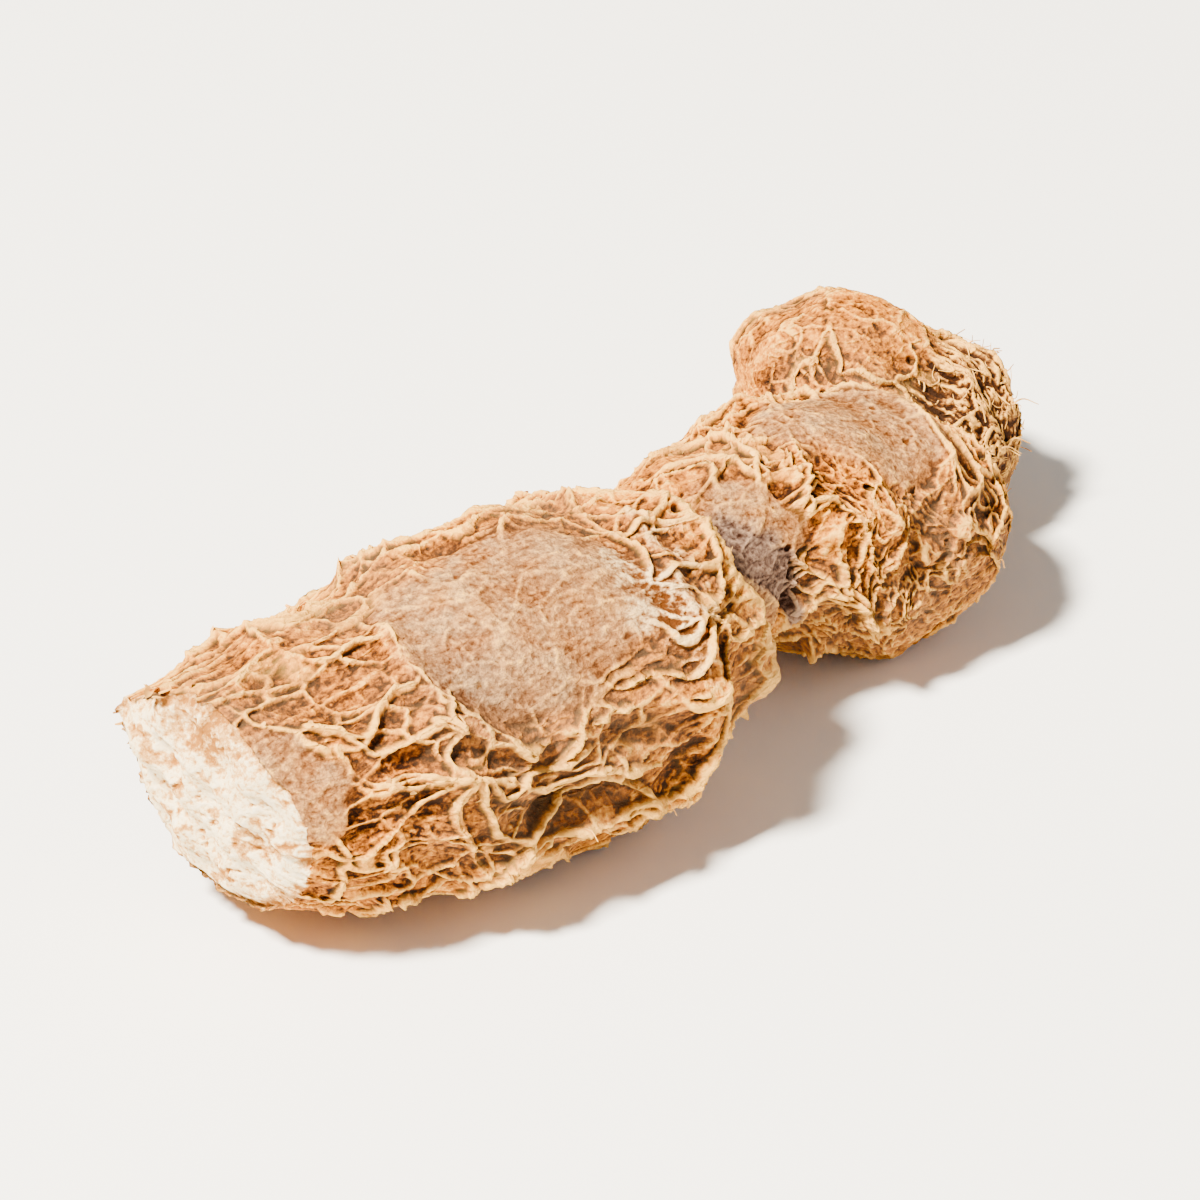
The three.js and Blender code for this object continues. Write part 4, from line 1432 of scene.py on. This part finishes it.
@dataclass(frozen=True)
class Scatter:
    """Sets one small shape over a skin wherever one of the skin's values is strong."""

    name: str
    lobe: Lobe
    shape: Loose
    density: float
    seed: int
    largest: float
    smallest: float = 0.4
    tilt: float = 0.0
    value: str = "crest"
    threshold: float = 0.6

    def inputs(self) -> dict[str, float]:
        """The node group's named inputs and their values."""
        return {
            "Density": self.density,
            "Threshold": self.threshold,
            "Smallest": self.smallest,
            "Largest": self.largest,
            "Tilt": self.tilt,
        }

    def group(self, shape: bpy.types.Object, material: bpy.types.Material) -> bpy.types.NodeTree:
        """Builds the node group.

        Args:
            shape: The shape that is set on the skin.
            material: What the shapes are made of.

        Returns:
            The group.
        """
        tree = bpy.data.node_groups.new(self.name, "GeometryNodeTree")
        kinds = {"Geometry": "Geometry", **dict.fromkeys(self.inputs(), "Float"), "Seed": "Int"}
        for key, kind in kinds.items():
            tree.interface.new_socket(key, in_out="INPUT", socket_type="NodeSocket" + kind)
        tree.interface.new_socket("Geometry", in_out="OUTPUT", socket_type="NodeSocketGeometry")
        add = NodeSketch(tree).add
        given = add("NodeGroupInput").outputs
        seed = {"Seed": given["Seed"]}
        strength = add("GeometryNodeInputNamedAttribute", {"Name": self.value}, data_type="FLOAT")
        limits = {"A": strength.outputs["Attribute"], "B": given["Threshold"]}
        strong = add("FunctionNodeCompare", limits).outputs["Result"]
        ground = {"Mesh": given["Geometry"], "Selection": strong, "Density": given["Density"], **seed}
        points = add("GeometryNodeDistributePointsOnFaces", ground).outputs
        turn = add("FunctionNodeRandomValue", {"Max": 2 * math.pi, **seed}, data_type="FLOAT")
        angles = add("ShaderNodeCombineXYZ", {"Z": turn.outputs["Value"], "Y": given["Tilt"]})
        turned = {"Rotation": points["Rotation"], "Rotate By": angles.outputs["Vector"]}
        spun = add("FunctionNodeRotateRotation", turned, rotation_space="LOCAL")
        limits = {"Min": given["Smallest"], "Max": given["Largest"], **seed}
        size = add("FunctionNodeRandomValue", limits, data_type="FLOAT")
        source = add("GeometryNodeObjectInfo", {"Object": shape})
        placed = add("GeometryNodeInstanceOnPoints", {
            "Points": points["Points"],
            "Instance": source.outputs["Geometry"],
            "Rotation": spun.outputs["Rotation"],
            "Scale": size.outputs["Value"],
        })
        real = add("GeometryNodeRealizeInstances", {"Geometry": placed.outputs["Instances"]})
        dressed = {"Geometry": real.outputs["Geometry"], "Material": material}
        add("NodeGroupOutput", {"Geometry": add("GeometryNodeSetMaterial", dressed).outputs["Geometry"]})
        return tree

    def over(
            self, skin: bpy.types.Object, shape: bpy.types.Object, material: bpy.types.Material,
    ) -> bpy.types.Object:
        """Sets the shapes on a skin, none of them below the floor.

        Args:
            skin: The skin's object.
            shape: The shape that is set on it.
            material: What the shapes are made of.

        Returns:
            The shapes as one plain object.
        """
        holder = bpy.data.objects.new(self.name + "_holder", skin.data)
        bpy.context.collection.objects.link(holder)
        modifier = holder.modifiers.new("scatter", "NODES")
        modifier.node_group = self.group(shape, material)
        values = {**self.inputs(), "Seed": self.seed}
        for socket in modifier.node_group.interface.items_tree:
            if socket.item_type == "SOCKET" and socket.in_out == "INPUT" and socket.name in values:
                modifier[socket.identifier] = values[socket.name]
        loose = finished(holder, self.name)
        place = np.empty(3 * len(loose.data.vertices))
        loose.data.vertices.foreach_get("co", place)
        place[2::3] = np.maximum(place[2::3], 0)
        loose.data.vertices.foreach_set("co", place)
        return loose


SCATTERS = (
    Scatter("lobe_one_flakes", Lobe.ONE, Loose.FLAKE, 0.35e6, seed=3, largest=0.5, smallest=0.25, tilt=0.15),
    Scatter("lobe_two_flakes", Lobe.TWO, Loose.FLAKE, 0.35e6, seed=4, largest=0.5, smallest=0.25, tilt=0.15),
    Scatter("torn_edge", Lobe.ONE, Loose.FLAKE, 0.6e6, seed=5, largest=0.8, tilt=-0.3,
            value="frill", threshold=0.3),
    Scatter("lobe_one_fibres", Lobe.ONE, Loose.FIBRE, 0.07e6, seed=6, largest=1.0),
    Scatter("lobe_two_fibres", Lobe.TWO, Loose.FIBRE, 0.12e6, seed=7, largest=1.1),
    Scatter("lobe_three_fibres", Lobe.THREE, Loose.FIBRE, 1.3e6, seed=8, largest=1.2, smallest=0.5,
            value="fibre", threshold=0.5),
)


@dataclass
class Studio:
    """A pale floor, soft light, and a camera that looks the way the photograph does."""

    azimuth: float = -33.0
    elevation: float = 33.0
    distance: float = 0.42
    lens: float = 245.0
    target: tuple[float, float, float] = (-0.0007, 0.0, 0.0068)

    def floor(self) -> None:
        """Lays the pale floor."""
        bpy.ops.mesh.primitive_plane_add(size=3, location=(0, 0, 0))
        plane = bpy.context.object
        plane.name = "floor"
        material = bpy.data.materials.new("pale_floor")
        material.use_nodes = True
        shader = material.node_tree.nodes["Principled BSDF"]
        shader.inputs["Base Color"].default_value = (0.86, 0.85, 0.83, 1)
        shader.inputs["Roughness"].default_value = 0.7
        plane.data.materials.append(material)

    def light(self, name: str, place: tuple[float, ...], size: float, power: float, warmth: Colour) -> None:
        """Adds one soft square light that faces the root.

        Args:
            name: The light's name.
            place: Where it stands, in metres.
            size: Its side in metres.
            power: Its power in watts.
            warmth: Its colour.
        """
        data = bpy.data.lights.new(name, "AREA")
        data.shape = "SQUARE"
        data.size = size
        data.energy = power
        data.color = warmth
        lamp = bpy.data.objects.new(name, data)
        lamp.location = place
        lamp.rotation_euler = (Vector(self.target) - Vector(place)).to_track_quat("-Z", "Y").to_euler()
        bpy.context.collection.objects.link(lamp)

    def lights(self) -> None:
        """Sets a high key light, a fill from the camera's side and a pale surrounding."""
        self.light("key", (-0.45, -0.05, 0.7), 0.13, 52.0, (1.0, 0.93, 0.80))
        self.light("fill", (0.45, -0.6, 0.5), 0.9, 3.0, (1.0, 0.97, 0.93))
        world = bpy.data.worlds.new("pale_room")
        world.use_nodes = True
        background = world.node_tree.nodes["Background"]
        background.inputs["Color"].default_value = (1.0, 0.96, 0.9, 1)
        background.inputs["Strength"].default_value = 0.30
        bpy.context.scene.world = world

    def camera(self) -> None:
        """Places the camera on the photograph's line of sight."""
        turn, rise = math.radians(self.azimuth), math.radians(self.elevation)
        back = Vector((math.sin(turn) * math.cos(rise), -math.cos(turn) * math.cos(rise), math.sin(rise)))
        data = bpy.data.cameras.new("camera")
        data.lens = self.lens
        data.clip_start = 0.01
        camera = bpy.data.objects.new("camera", data)
        camera.location = Vector(self.target) + back * self.distance
        camera.rotation_euler = (-back).to_track_quat("-Z", "Y").to_euler()
        bpy.context.collection.objects.link(camera)
        bpy.context.scene.camera = camera

    def build(self) -> None:
        """Sets the whole stage."""
        self.floor()
        self.lights()
        self.camera()


def attach(piece: bpy.types.Object, material: bpy.types.Material, stands_for_node: bool) -> None:
    """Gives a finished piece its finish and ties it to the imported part.

    Args:
        piece: The finished piece.
        material: Its finish.
        stands_for_node: Whether it takes the place of the solid.
    """
    if not piece.data.materials:
        piece.data.materials.append(material)
    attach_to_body(piece, BODY)
    if stands_for_node:
        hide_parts(NODE)
    LOG.info("%s: %d triangles", piece.name, len(piece.data.loops) - 2 * len(piece.data.polygons))


def main() -> None:
    """Builds the root and its stage."""
    logging.basicConfig(level=logging.INFO, format="%(message)s")
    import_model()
    Studio().build()
    dried, frayed = DriedSkinFinish().build(), FrayedFinish().build()
    builder = LobeBuilder(SkinSculptor())
    skins = {lobe: thinned_skin(builder.build(lobe), lobe) for lobe in Lobe}
    shapes = {Loose.FLAKE: flake_shape(), Loose.FIBRE: fibre_shape()}
    loose = [scatter.over(skins[scatter.lobe], shapes[scatter.shape], frayed) for scatter in SCATTERS]
    for piece in skins.values():
        attach(piece, dried, True)
    for piece in loose:
        attach(piece, frayed, False)


if __name__ == "__main__":
    main()
